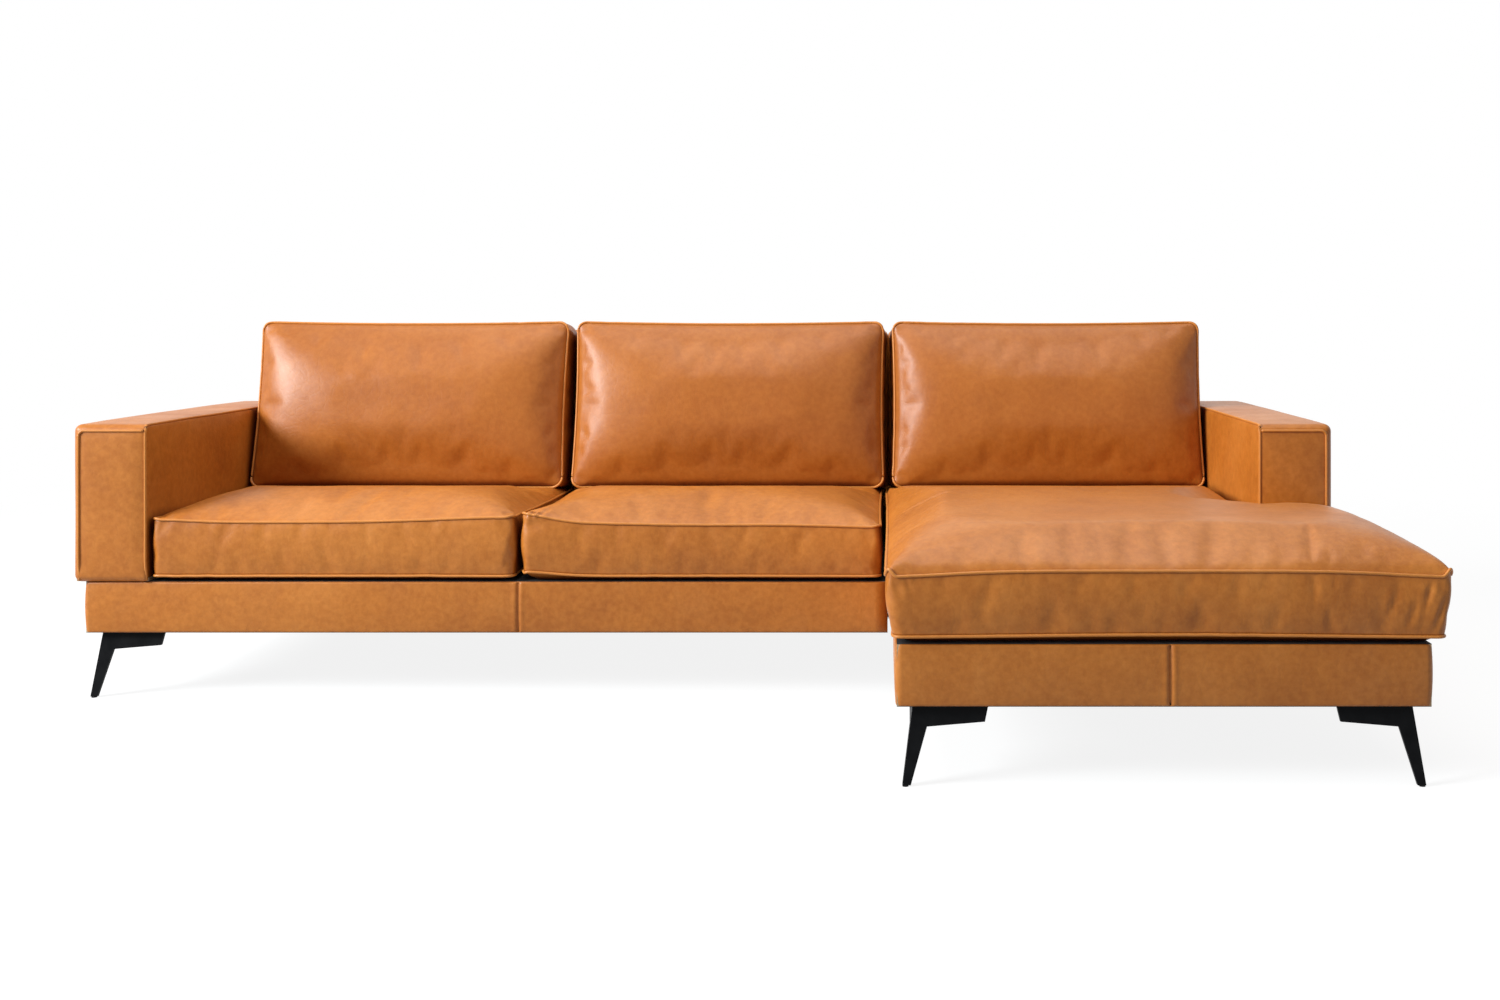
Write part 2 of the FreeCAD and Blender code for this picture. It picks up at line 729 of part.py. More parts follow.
def rounded_ring(corners, radius, draw, height):
    """A closed wire through square corners, its sides drawn in by draw, its corners round."""
    bends = []
    count = len(corners)
    for index, corner in enumerate(corners):
        before = (corner - corners[index - 1]).normalize()
        after = (corners[(index + 1) % count] - corner).normalize()
        start = corner - before * radius
        end = corner + after * radius
        centre = start + after * radius
        middle = centre + (corner - centre).normalize() * radius
        bends.append((start, middle, end))
    edges = []
    for index, (start, middle, end) in enumerate(bends):
        edges.append(Part.Arc(start, middle, end).toShape())
        following = bends[(index + 1) % count][0]
        along = (following - end).normalize()
        inward = Vector(-along.y, along.x, 0)
        bowed = (end + following) / 2 + inward * draw
        edges.append(Part.Arc(end, bowed, following).toShape())
    wire = Part.Wire(edges)
    wire.translate(Vector(0, 0, height))
    return wire


def inset_corners(outline, inset):
    """The corners of a right-angled outline whose sides all move in by inset."""
    count = len(outline)
    corners = []
    for index, corner in enumerate(outline):
        before = (corner - outline[index - 1]).normalize()
        after = (outline[(index + 1) % count] - corner).normalize()
        shift = Vector(-before.y - after.y, before.x + after.x, 0)
        corners.append(corner + shift * inset)
    return corners


def dome(kind, seam, rise, reach, steps):
    """Rings from a seam over a quarter ellipse: height, inset, corner radius and side draw."""
    rings = []
    for step in range(steps + 1):
        turn = math.pi / 2 * step / steps
        progress = 1 - math.cos(turn)
        inset = size("seam_inset") + reach * progress
        corner = size(f"{kind}_corner") + size(f"{kind}_corner_growth") * progress
        draw = size(f"{kind}_draw") * (1 - progress / 2)
        rings.append((seam + rise * math.sin(turn), inset, corner, draw))
    return rings


def cushion_stages(kind):
    """Foot, boxing and crown of a seat or back cushion: rings from low to high, straight or not."""
    foot = size(f"{kind}_foot")
    seam = foot + size(f"{kind}_boxing")
    corner = size(f"{kind}_corner")
    crown_rise = size(f"{kind}_crown")
    low = dome(kind, foot, -foot, size(f"{kind}_foot_reach"), FOOT_STEPS)
    low.reverse()
    middle = (foot + seam) / 2
    boxing = [low[-1], (middle, 0, corner, 1), (seam,) + low[-1][1:]]
    high = dome(kind, seam, crown_rise, size(f"{kind}_crown_reach"), CROWN_STEPS)
    return (low, True), (boxing, False), (high, True)


def cushion_body(kind, outline, skin):
    """One closed cushion, everywhere inside the full form by the thickness skin."""
    thickness = size(f"{kind}_foot") + size(f"{kind}_boxing") + size(f"{kind}_crown")
    shrink = 1 - 2 * skin / thickness
    faces = []
    caps = []
    for stage, straight in cushion_stages(kind):
        rings = []
        for height, inset, radius, draw in stage:
            nearer = thickness / 2 + (height - thickness / 2) * shrink
            corners = inset_corners(outline, inset + skin)
            rings.append(rounded_ring(corners, max(radius - skin, 1), draw, nearer))
        faces.extend(Part.makeLoft(rings, False, straight).Faces)
        caps.append(rings)
    faces.append(Part.Face(caps[0][0]))
    faces.append(Part.Face(caps[-1][-1]))
    shell = Part.makeShell(faces)
    shell.sewShape()
    return Part.makeSolid(Part.Shell(shell.Faces))


def cushion(name, kind, outline, placement, trim):
    """A leather cover and the foam core inside it, both cut where trim says."""
    leather = size("leather")
    shapes = []
    for skin in (0, leather, leather + size("core_clearance")):
        shapes.append(cushion_body(kind, outline, skin).cut(trim(skin)))
    outer, inner, core = shapes
    for ending, shape in (("cover", outer.cut(inner)), ("core", core)):
        if len(shape.Solids) != 1:
            raise ValueError(f"{name}_{ending} is not one solid")
        item = doc.addObject("Part::Feature", f"{name}_{ending}")
        item.Shape = shape.Solids[0]
        item.Placement = placement
        node(f"{name}_{ending}", item)


def rectangle(left, right, front, rear):
    """Corners of a plan rectangle, anticlockwise from the front left."""
    return [Vector(left, front, 0), Vector(right, front, 0), Vector(right, rear, 0),
            Vector(left, rear, 0)]


side_gap = size("seat_side_gap")
joint_gap = size("seat_joint_gap")
seat_front = place("y_main_front")
seat_rear = place("y_back_foot") - size("seat_rear_gap")
seat_seam = size("seat_foot") + size("seat_boxing")
seat_thickness = seat_seam + size("seat_crown")
seat_base = place("z_deck") + size("seat_lift")


bearing_slope = (size("seat_crown") - size("bearing_rise")) / size("bearing_run")


def bearing_slab(floor, roof):
    """All between two heights over the seat's rear edge, both rising forward at the slope."""
    reach = size("main_depth") + size("chaise_extension")
    rim = []
    for y, height in ((seat_rear + reach, floor), (seat_rear - reach, floor),
                      (seat_rear - reach, roof), (seat_rear + reach, roof)):
        rim.append(Vector(-reach, y, height + (seat_rear - y) * bearing_slope))
    side = Part.Face(Part.makePolygon(rim + rim[:1]))
    return side.extrude(Vector(2 * reach, 0, 0))


def above_bearing(skin):
    """What a back cushion presses off a seat: all above a plane that falls to the rear."""
    floor = seat_seam + size("bearing_rise") - skin * math.hypot(1, bearing_slope)
    return bearing_slab(floor, floor + seat_thickness)


seat_place = Placement(Vector(0, 0, seat_base), Rotation())
seat_joint = place("x_joint") - size("chaise_left_overlap")
for name, left, right in (
        ("left_seat", place("x_left_inner") + side_gap, place("x_split") - side_gap),
        ("middle_seat", place("x_split") + side_gap, seat_joint - joint_gap / 2)):
    cushion(name, "seat", rectangle(left, right, seat_front, seat_rear), seat_place,
            above_bearing)

chaise_left_edge = seat_joint + joint_gap / 2
chaise_outer_edge = place("x_right") + size("chaise_overhang")
notch_x = place("x_right_inner") - side_gap
notch_y = place("y_main_front") - size("chaise_notch_gap")
chaise_outline = [
    Vector(chaise_left_edge, place("y_chaise_front"), 0),
    Vector(chaise_outer_edge, place("y_chaise_front"), 0),
    Vector(chaise_outer_edge, notch_y, 0),
    Vector(notch_x, notch_y, 0),
    Vector(notch_x, seat_rear, 0),
    Vector(chaise_left_edge, seat_rear, 0),
]
cushion("chaise_seat", "seat", chaise_outline, seat_place, above_bearing)

rake = size("back_rake")
lean = math.radians(rake)
bearing_height = seat_base + seat_seam + size("bearing_rise") + size("back_cushion_lift")
back_seam = size("back_foot") + size("back_boxing")
back_half = size("seat_width") / 2 - size("back_cushion_side_gap")

# The stand's foot lies along the back's leaning face, where the front seam meets the bearing

lean_y = place("y_back_foot") - size("back_rest_gap") / math.cos(lean)
seam_reach = seat_rear - lean_y + place("z_deck") * place("back_lean")
seam_reach += back_seam * math.cos(lean)
foot_height = bearing_height + seam_reach * bearing_slope - back_seam * math.sin(lean)
foot_height /= 1 + bearing_slope * place("back_lean")
foot_y = lean_y + (foot_height - place("z_deck")) * place("back_lean")
back_outline = rectangle(-back_half, back_half, 0, size("back_cushion_height"))


def below_bearing(stand):
    """A function that gives what lies under a seat's bearing plane, in the stand's frame."""
    def slab(skin):
        roof = bearing_height + skin * math.hypot(1, bearing_slope)
        under = bearing_slab(roof - size("back_height"), roof)
        return under.transformed(stand.inverse().toMatrix())
    return slab


for name, left, right in (
        ("left_back_cushion", place("x_left_inner"), place("x_split")),
        ("middle_back_cushion", place("x_split"), place("x_joint")),
        ("chaise_back_cushion", place("x_joint"), place("x_right_inner"))):
    stand = Placement(Vector((left + right) / 2, foot_y, foot_height),
                      Rotation(Vector(1, 0, 0), 90 - rake))
    cushion(name, "back", back_outline, stand, below_bearing(stand))

# Every piece has to be sound before it is written

doc.recompute()
for item in doc.Objects:
    if "Invalid" in item.State or "Error" in item.State:
        raise ValueError(f"{item.Label} did not build")
for name, item in nodes.items():
    if item.Shape.isNull() or not item.Shape.isValid():
        raise ValueError(f"{name} has no sound shape")
for name, item in nodes.items():
    item.Shape.exportStep(f"parts/{name}.step")
print(len(nodes), "sub-parts written")
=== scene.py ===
import math

import bpy
from mathutils import Matrix, Vector, noise
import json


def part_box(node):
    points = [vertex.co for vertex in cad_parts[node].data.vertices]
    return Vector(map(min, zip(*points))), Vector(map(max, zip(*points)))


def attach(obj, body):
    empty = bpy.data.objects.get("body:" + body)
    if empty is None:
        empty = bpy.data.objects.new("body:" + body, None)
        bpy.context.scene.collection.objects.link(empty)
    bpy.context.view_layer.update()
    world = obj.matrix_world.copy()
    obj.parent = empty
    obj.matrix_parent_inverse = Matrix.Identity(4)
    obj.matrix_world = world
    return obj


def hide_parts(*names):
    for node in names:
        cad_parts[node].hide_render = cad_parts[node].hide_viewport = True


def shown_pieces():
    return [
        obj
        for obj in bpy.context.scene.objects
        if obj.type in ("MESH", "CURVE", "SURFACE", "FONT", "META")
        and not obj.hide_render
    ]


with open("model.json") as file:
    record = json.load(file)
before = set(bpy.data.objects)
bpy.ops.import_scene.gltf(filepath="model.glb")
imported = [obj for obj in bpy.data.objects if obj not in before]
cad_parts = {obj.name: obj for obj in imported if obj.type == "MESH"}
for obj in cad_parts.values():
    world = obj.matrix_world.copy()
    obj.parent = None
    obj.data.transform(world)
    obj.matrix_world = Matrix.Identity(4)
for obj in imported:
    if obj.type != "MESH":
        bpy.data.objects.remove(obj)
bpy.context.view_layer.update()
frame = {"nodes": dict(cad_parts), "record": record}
nodes = frame["nodes"]

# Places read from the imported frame, in metres

LEFT_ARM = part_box("left_arm_cover")
RIGHT_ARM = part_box("right_arm_cover")
MAIN_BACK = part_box("main_back_cover")
CHAISE_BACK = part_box("chaise_back_cover")
Z_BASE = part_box("main_front_border")[0].z
Z_DECK = LEFT_ARM[0].z
Y_FRONT = LEFT_ARM[0].y

# Cushions: the lie of their seams, and how finely their leather is divided

SEAM_INSET = 0.006
GRID = 0.014
GRID_FINE = 0.007
GRID_MARGIN = 0.05
BOXING_RINGS = 10
CROWN_POWER = 2.1
NOTCHED_REACH = 0.58
FOOT_LIP = 0.006
FOOT_REACH = 0.02
PIPING = 0.0032
TUBE_SIDES = 8
EDGE_POWER = 2.4

# Seat cushions: heights over the deck

SEAT_FOOT = 0.014
SEAT_BOXING = 0.123
SEAT_CROWN = 0.039
SEAT_REACH = 0.240
SEAT_CORNER = 0.018
SEAT_DRAW = 0.004
SEAT_SWELL = 0.005
SEAT_BASE = Z_DECK + 0.0003
BEARING_SLOPE = 0.1
BEARING_RISE = 0.005
SEAT_REAR = 0.563
CHAISE_TAPER = 0.013
CHAISE_CROWN = 0.053
CROWN_START = 0.34
CROWN_RUN = 0.09
CROWN_PROUD = 0.008

# Back cushions: heights over the leaning back they rest on

BACK_RAKE = math.radians(12)
BACK_FOOT = 0.014
BACK_BOXING = 0.146
BACK_CROWN = 0.048
BACK_REACH = 0.210
BACK_CORNER = 0.026
BACK_DRAW = 0.006
BACK_SWELL = 0.008
BACK_HEIGHT = 0.457
BACK_HALF = 0.422
BACK_STAND_HEIGHT = 0.3917
BACK_STAND_GAP = 0.0004
BACK_SEAM_RISE = 0.002

# Camera: level, in line with the joint between the middle seats and the chaise

IMAGE = (1500, 1000)
FOCAL_PIXELS = 1591
VANISHING_PIXEL = (888, 310)
CAMERA_HEIGHT = 0.90
CAMERA_REACH = 3.68
SENSOR = 36


# Small mesh helpers


def share_of(value):
    """A value held between nought and one."""
    return max(0.0, min(1.0, value))


def eased(value):
    """A share that leaves nought and reaches one softly."""
    share = share_of(value)
    return share * share * (3 - 2 * share)


def edge_gap(point, start, end):
    """How far along a side a plan point lies, as a share, and its distance from the side."""
    side = end - start
    share = share_of((point - start).dot(side) / side.length_squared)
    return share, (point - start - side * share).length


def plan_limits(places):
    """The lowest and the highest corner of the plan box round some places."""
    return (Vector((min(p.x for p in places), min(p.y for p in places))),
            Vector((max(p.x for p in places), max(p.y for p in places))))


def rectangle(low, high):
    """The corners of a plan box, anticlockwise."""
    return [Vector((low.x, low.y)), Vector((high.x, low.y)),
            Vector((high.x, high.y)), Vector((low.x, high.y))]


def ring_faces(rings, size, closed):
    """Quads between rings of points, with a cap at each end of an open row."""
    faces = []
    for ring in range(rings if closed else rings - 1):
        onward = (ring + 1) % rings
        for index in range(size):
            after = (index + 1) % size
            faces.append((ring * size + index, onward * size + index,
                          onward * size + after, ring * size + after))
    if not closed:
        faces.append(tuple(range(size)))
        faces.append(tuple(reversed(range((rings - 1) * size, rings * size))))
    return faces


def spread(start, end, parts):
    """Evenly spaced values from start to end."""
    return [start + (end - start) * part / parts for part in range(parts + 1)]


def placed(name, data):
    """An object for some data, linked to the scene."""
    item = bpy.data.objects.new(name, data)
    bpy.context.scene.collection.objects.link(item)
    return item


def stand_for(item, body, *names):
    """Lets a leather piece ride with a body and replace some nodes."""
    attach(item, body)
    if names:
        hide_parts(*names)


def piece(name, points, faces, smooth=True):
    """A new object in the scene, its place in its mesh."""
    mesh = bpy.data.meshes.new(name)
    mesh.from_pydata([tuple(p) for p in points], [], faces)
    mesh.validate()
    mesh.update()
    if smooth:
        mesh.shade_smooth()
    return placed(name, mesh)


def grid_lines(stops, step=GRID, fine=GRID_FINE):
    """Coordinates about step apart through every stop, finer in short spans."""
    lines = [stops[0]]
    for start, end in zip(stops, stops[1:]):
        span = end - start
        count = max(1, round(span / (fine if span < GRID_MARGIN else step)))
        for index in range(1, count + 1):
            lines.append(start + span * index / count)
    return lines


def turns(corners):
    """Each corner of an anticlockwise outline with the directions in and out of it."""
    found = []
    for index, corner in enumerate(corners):
        before = (corner - corners[index - 1]).normalized()
        after = (corners[(index + 1) % len(corners)] - corner).normalized()
        found.append((corner, before, after, before.cross(after) > 0))
    return found


def inside(point, corners):
    """True if a plan point lies within an outline."""
    crossings = 0
    for index, end in enumerate(corners):
        start = corners[index - 1]
        if (start.y > point.y) != (end.y > point.y):
            share = (point.y - start.y) / (end.y - start.y)
            if point.x < start.x + share * (end.x - start.x):
                crossings += 1
    return crossings % 2 == 1


def edge_distance(point, corners):
    """Distance from a plan point to an outline's sides, blended smoothly near corners."""
    total = 0.0
    for index, end in enumerate(corners):
        total += max(1e-6, edge_gap(point, corners[index - 1], end)[1]) ** -EDGE_POWER
    return total ** (-1 / EDGE_POWER)


def rounded(point, bends, radius):
    """A grid point near a convex corner, drawn in so that the corner is round."""
    for corner, before, after, convex in bends:
        if not convex:
            continue
        centre = corner - before * radius + after * radius
        along = (point - centre).dot(before) / radius
        across = -(point - centre).dot(after) / radius
        if along > 0 and across > 0:
            reach = max(along, across)
            scale = reach / math.hypot(along, across)
            return centre + (before * along - after * across) * radius * scale
    return point


def panel(corners, radius):
    """Quads over a right-angled outline: plan points, faces, and the rim in order."""
    bends = turns(corners)
    marks = list(corners)
    for corner, before, after, convex in bends:
        inward = (after - before) * (1 if convex else -1)
        marks.append(corner + inward * GRID_MARGIN)
        if convex:
            marks.append(corner + inward * radius)
    columns = grid_lines(sorted({round(m.x, 6) for m in marks}))
    rows = grid_lines(sorted({round(m.y, 6) for m in marks}))
    points = []
    number = {}
    faces = []

    def index_of(column, row):
        key = (column, row)
        if key not in number:
            number[key] = len(points)
            points.append(rounded(Vector((columns[column], rows[row])), bends, radius))
        return number[key]

    for column in range(len(columns) - 1):
        for row in range(len(rows) - 1):
            middle = Vector((columns[column] + columns[column + 1],
                             rows[row] + rows[row + 1])) / 2
            if inside(middle, corners):
                faces.append((index_of(column, row), index_of(column + 1, row),
                              index_of(column + 1, row + 1), index_of(column, row + 1)))
    following = {}
    for face in faces:
        for start, end in zip(face, face[1:] + face[:1]):
            following[(start, end)] = end
    rim_next = {s: e for (s, e) in following if (e, s) not in following}
    rim = [next(iter(rim_next))]
    while rim_next[rim[-1]] != rim[0]:
        rim.append(rim_next[rim[-1]])
    return points, faces, rim


def tube(name, path, radius, closed):
    """A round tube along points, closed on itself or capped."""
    count = len(path)
    points = []
    guide = Vector((0, 0, 1))
    for index, spot in enumerate(path):
        before = path[index - 1] if closed or index else path[0]
        after = path[(index + 1) % count] if closed or index < count - 1 else path[-1]
        along = (after - before).normalized()
        across = along.cross(guide)
        if across.length < 0.3:
            across = along.cross(Vector((0, 1, 0)))
        across.normalize()
        upward = across.cross(along)
        for side in range(TUBE_SIDES):
            angle = 2 * math.pi * side / TUBE_SIDES
            points.append(spot + (across * math.cos(angle) + upward * math.sin(angle)) * radius)
    return piece(name, points, ring_faces(count, TUBE_SIDES, closed))


def curve_through(points, closed, parts=2):
    """Points of a smooth curve through the given ones."""
    count = len(points)
    result = []
    last = count if closed else count - 1
    for index in range(last):
        p0 = points[index - 1] if closed or index else points[0]
        p1 = points[index]
        p2 = points[(index + 1) % count]
        p3 = points[(index + 2) % count] if closed or index < count - 2 else points[-1]
        for part in range(parts):
            t = part / parts
            result.append(0.5 * (2 * p1 + (p2 - p0) * t + (2 * p0 - 5 * p1 + 4 * p2 - p3) * t ** 2
                                 + (3 * p1 - p0 - 3 * p2 + p3) * t ** 3))
    if not closed:
        result.append(points[-1])
    return result


def refine(item):
    """Subdivides a piece's mesh once, for good."""
    item.modifiers.new("finer", "SUBSURF").levels = 1
    bpy.context.view_layer.update()
    depsgraph = bpy.context.evaluated_depsgraph_get()
    mesh = bpy.data.meshes.new_from_object(item.evaluated_get(depsgraph))
    item.modifiers.clear()
    old = item.data
    item.data = mesh
    mesh.name = item.name
    bpy.data.meshes.remove(old)


# Cushions: a crowned panel, boxing and a flat panel, sewn at two piped seams


def crown_height(distance, reach):
    """A steep rise from the seam that levels off, as a share of the crown."""
    share = share_of(distance / reach)
    return (1 - (1 - share) ** CROWN_POWER) ** (1 / CROWN_POWER)


def dome_height(point, corners, reach):
    """The crown over a plan point as a share: round in both ways on a rectangle."""
    if len(corners) > 4:
        return crown_height(edge_distance(point, corners) - 1e-5, reach * NOTCHED_REACH)
    across = min(point.x - corners[0].x, corners[2].x - point.x)
    along = min(point.y - corners[0].y, corners[2].y - point.y)
    return crown_height(across, reach) * crown_height(along, reach)


def foot_height(distance):
    """The underside's height in from the lower seam, as a share of the foot."""
    return 1 - eased((distance - FOOT_LIP) / FOOT_REACH)


def lift_at(point, lifts):
    """How far a seam rides up at a plan point, from spots with a height and a reach."""
    return sum(height * math.exp(-(point - spot).length_squared / (reach * reach))
               for spot, height, reach in lifts)


def cushion_form(name, corners, sizes, place_point, upper_lifts, lower_lifts, taper,
                 rest_low=True):
    """A cushion's mesh before it is filled, with the vertices along its seams.

    place_point takes a plan point and a height and says where that is in the row's frame.
    rest_low is False where the near side stands flat on something and isn't drawn in.
    """
    foot, boxing, crown, reach, corner, draw, swell = sizes
    plan, quads, rim = panel(corners, corner)
    low, high = plan_limits(corners)
    middle = (low + high) / 2
    half = (high - low) / 2

    def drawn(point, share):
        u = (point.x - middle.x) / half.x
        v = (point.y - middle.y) / half.y
        pull = draw if v > 0 or rest_low else 0.0
        return Vector((point.x - draw * u * (1 - v * v) - taper * u * share,
                       point.y - pull * v * (1 - u * u)))

    count = len(plan)
    points = []
    for spot in plan:
        height = foot + boxing + crown * dome_height(spot, corners, reach)
        points.append((drawn(spot, 0), height + lift_at(spot, upper_lifts)))
    for spot in plan:
        distance = edge_distance(spot, corners)
        lip = math.exp(-(distance / FOOT_LIP) ** 2)
        points.append((drawn(spot, 1), foot * foot_height(distance)
                       + lift_at(spot, lower_lifts) * lip))
    faces = list(quads)
    for quad in quads:
        faces.append(tuple(count + index for index in reversed(quad)))
    rims = [rim]
    number = len(rim)
    for ring in range(1, BOXING_RINGS):
        share = ring / BOXING_RINGS
        loop = []
        for index, start in enumerate(rim):
            spot = plan[start]
            along = plan[rim[(index + 1) % number]] - plan[rim[index - 1]]
            outward = Vector((along.y, -along.x)).normalized()
            top = points[start][1]
            height = top + (points[count + start][1] - top) * share
            loop.append(len(points))
            points.append((drawn(spot, share) + outward * swell * math.sin(math.pi * share),
                           height))
        rims.append(loop)
    rims.append([count + index for index in rim])
    for upper, lower in zip(rims, rims[1:]):
        for index in range(number):
            after = (index + 1) % number
            faces.append((upper[index], lower[index], lower[after], upper[after]))
    item = piece(name, [place_point(p, h) for p, h in points], faces)
    held = set(range(count, 2 * count)) | set(rims[0]) | set(rims[-1])
    return item, rims, held


def crease_seams(item, rims):
    """Keeps a cushion's two seams crisp when its mesh is refined."""
    sharp = set()
    for loop in (rims[0], rims[-1]):
        for index, vertex in enumerate(loop):
            sharp.add(frozenset((vertex, loop[(index + 1) % len(loop)])))
    crease = item.data.attributes.new("crease_edge", "FLOAT", "EDGE")
    for edge in item.data.edges:
        crease.data[edge.index].value = 1.0 if frozenset(edge.vertices) in sharp else 0.0


FILL_FRAMES = 20
FILL_PRESSURE = 4.0
FILL_CAP = 0.024


def fill(cushions):
    """Blows the cushions up by cloth simulation, with gravity off, and applies the result."""
    scene = bpy.context.scene
    for cushion in cushions:
        item = cushion["item"]
        group = item.vertex_groups.new(name="held")
        group.add(sorted(cushion["held"]), 1.0, "REPLACE")
        cloth = item.modifiers.new("filling", "CLOTH")
        settings = cloth.settings
        settings.quality = 5
        settings.mass = 0.3
        settings.tension_stiffness = 25
        settings.compression_stiffness = 25
        settings.shear_stiffness = 12
        settings.bending_stiffness = 4
        settings.use_pressure = True
        settings.uniform_pressure_force = FILL_PRESSURE
        settings.shrink_min = -cushion["slack"]
        settings.effector_weights.gravity = 0
        settings.vertex_group_mass = "held"
        cloth.collision_settings.use_collision = False
        cloth.collision_settings.use_self_collision = False
        cloth.point_cache.frame_start = 1
        cloth.point_cache.frame_end = FILL_FRAMES
    for number in range(1, FILL_FRAMES + 1):
        scene.frame_set(number)
    depsgraph = bpy.context.evaluated_depsgraph_get()
    for cushion in cushions:
        item = cushion["item"]
        filled = [v.co.copy() for v in item.evaluated_get(depsgraph).data.vertices]
        item.modifiers.clear()
        for vertex, spot in zip(item.data.vertices, filled):
            shift = spot - vertex.co
            if shift.length > FILL_CAP:
                shift *= FILL_CAP / shift.length
            vertex.co += cushion["limit"](vertex.co, shift)
    scene.frame_set(1)


# Crumpling: waves as a rate and a depth, which fade out beside the seams, and puckers

WAVES = ((5.0, 0.0026), (13.0, 0.0010))
WAVE_FADE = 0.025
PUCKER_RATE = 34.0
PUCKER_DEPTH = 0.0019
PUCKER_REACH = 0.022


def pucker_depth(point, drop, corners, seed):
    """Short dents that run square to the seams, at uneven places along them."""
    depth = 0.0
    for index, end in enumerate(corners):
        start = corners[index - 1]
        share, distance = edge_gap(point, start, end)
        gap = math.hypot(distance, drop)
        if gap < 4 * PUCKER_REACH:
            run = share * (end - start).length
            here = seed + 7.3 * index
            where = 0.5 + noise.noise(Vector((run * 5, here, 0.5)))
            dent = noise.noise(Vector((run * PUCKER_RATE, here, gap * 6)))
            depth += max(0.0, dent) * max(0.0, where) * math.exp(-gap / PUCKER_REACH)
    return depth * PUCKER_DEPTH


def fold_shift(place, folds):
    """The dip along listed folds, with a raised shoulder on each side."""
    shift = 0.0
    for spot, direction, length, width, depth in folds:
        gap = place - Vector(spot)
        line = Vector(direction).normalized()
        along = gap.dot(line)
        across = (gap - line * along).length / width
        if across < 4:
            profile = math.exp(-across * across) - 0.5 * math.exp(-(across - 1.8) ** 2)
            shift -= depth * profile * math.exp(-(along / length) ** 2)
    return shift


def crumple(cushion, seed):
    """Soft waves, seam puckers and single folds in a filled cushion's leather."""
    item = cushion["item"]
    top, foot = cushion["seams"]
    offset = Vector((seed * 3.7, seed * 1.9, seed))
    shifts = []
    for vertex in item.data.vertices:
        local = cushion["unplace"](vertex.co)
        if local.z < foot - 0.001:
            shifts.append(0.0)
            continue
        point = Vector((local.x, local.y))
        drop = min(abs(local.z - top), abs(local.z - foot))
        near = math.hypot(edge_distance(point, cushion["corners"]), drop)
        wave = sum(depth * noise.noise(vertex.co * rate + offset) for rate, depth in WAVES)
        shift = wave * (1 - math.exp(-(near / WAVE_FADE) ** 2))
        shift -= pucker_depth(point, drop, cushion["corners"], seed)
        shift += fold_shift(vertex.co, cushion["folds"])
        shifts.append(shift)
    normals = [vertex.normal.copy() for vertex in item.data.vertices]
    for vertex, normal, shift in zip(item.data.vertices, normals, shifts):
        vertex.co = cushion["keep"](vertex.co + normal * shift)
    item.data.update()


def bearing_height(y):
    """Height over the seat's underside of the plane that the back cushions press down to."""
    return SEAT_FOOT + SEAT_BOXING + BEARING_RISE + BEARING_SLOPE * (SEAT_REAR - y)


def roof_height(y):
    """The bearing plane, and over it the crown that swells up in front of the back cushions."""
    return bearing_height(y) + CROWN_PROUD * eased((CROWN_START - y) / CROWN_RUN)


SEAT_SIZES = (SEAT_FOOT, SEAT_BOXING, SEAT_CROWN, SEAT_REACH, SEAT_CORNER, SEAT_DRAW, SEAT_SWELL)
BACK_SIZES = (BACK_FOOT, BACK_BOXING, BACK_CROWN, BACK_REACH, BACK_CORNER, BACK_DRAW, BACK_SWELL)
SEAT_SIDE_CAP = 0.002
BACK_SIDE_CAP = 0.004
SEAT_SLACK = 0.010
BACK_SLACK = 0.012
SEAT_HELD = 0.001
BACK_HELD = 0.0005
BEARING_CLEAR = 0.0004


def sideways_of(shift, cap):
    """The level part of a shift, no longer than a cap."""
    sideways = Vector((shift.x, shift.y, 0))
    if sideways.length > cap:
        sideways *= cap / sideways.length
    return sideways


def seat_point(point, height):
    return Vector((point.x, point.y, SEAT_BASE + min(height, roof_height(point.y))))


def seat_limit(place, shift):
    """How far filling moves a seat's point: little sideways, and never over the bearing."""
    sideways = sideways_of(shift, SEAT_SIDE_CAP)
    roof = SEAT_BASE + roof_height(place.y)
    rise = min(shift.z, max(0.0, roof - place.z))
    return Vector((sideways.x, sideways.y, rise))


def seat_keep(place):
    """A seat's point after it crumples, still under the bearing plane."""
    place.z = min(place.z, SEAT_BASE + roof_height(place.y))
    return place


def seat_unplace(place):
    return place - Vector((0, 0, SEAT_BASE))


def seat_cushion(name, corners, upper_lifts, lower_lifts, folds, taper=0.0, crown=SEAT_CROWN):
    """A seat cushion before it is filled, with what filling and crumpling need to know."""
    sizes = SEAT_SIZES[:2] + (crown,) + SEAT_SIZES[3:]
    inner = []
    for corner, before, after, convex in turns(corners):
        inner.append(corner + (Vector((-before.y, before.x))
                               + Vector((-after.y, after.x))) * SEAM_INSET)
    item, rims, held = cushion_form(name, inner, sizes, seat_point,
                                    upper_lifts, lower_lifts, taper)
    for vertex in item.data.vertices:
        if vertex.co.z > SEAT_BASE + roof_height(vertex.co.y) - SEAT_HELD:
            held.add(vertex.index)
    return {"name": name, "item": item, "rims": rims, "held": held, "slack": SEAT_SLACK,
            "limit": seat_limit, "keep": seat_keep, "unplace": seat_unplace, "corners": inner,
            "seams": (SEAT_FOOT + SEAT_BOXING, SEAT_FOOT), "folds": folds}


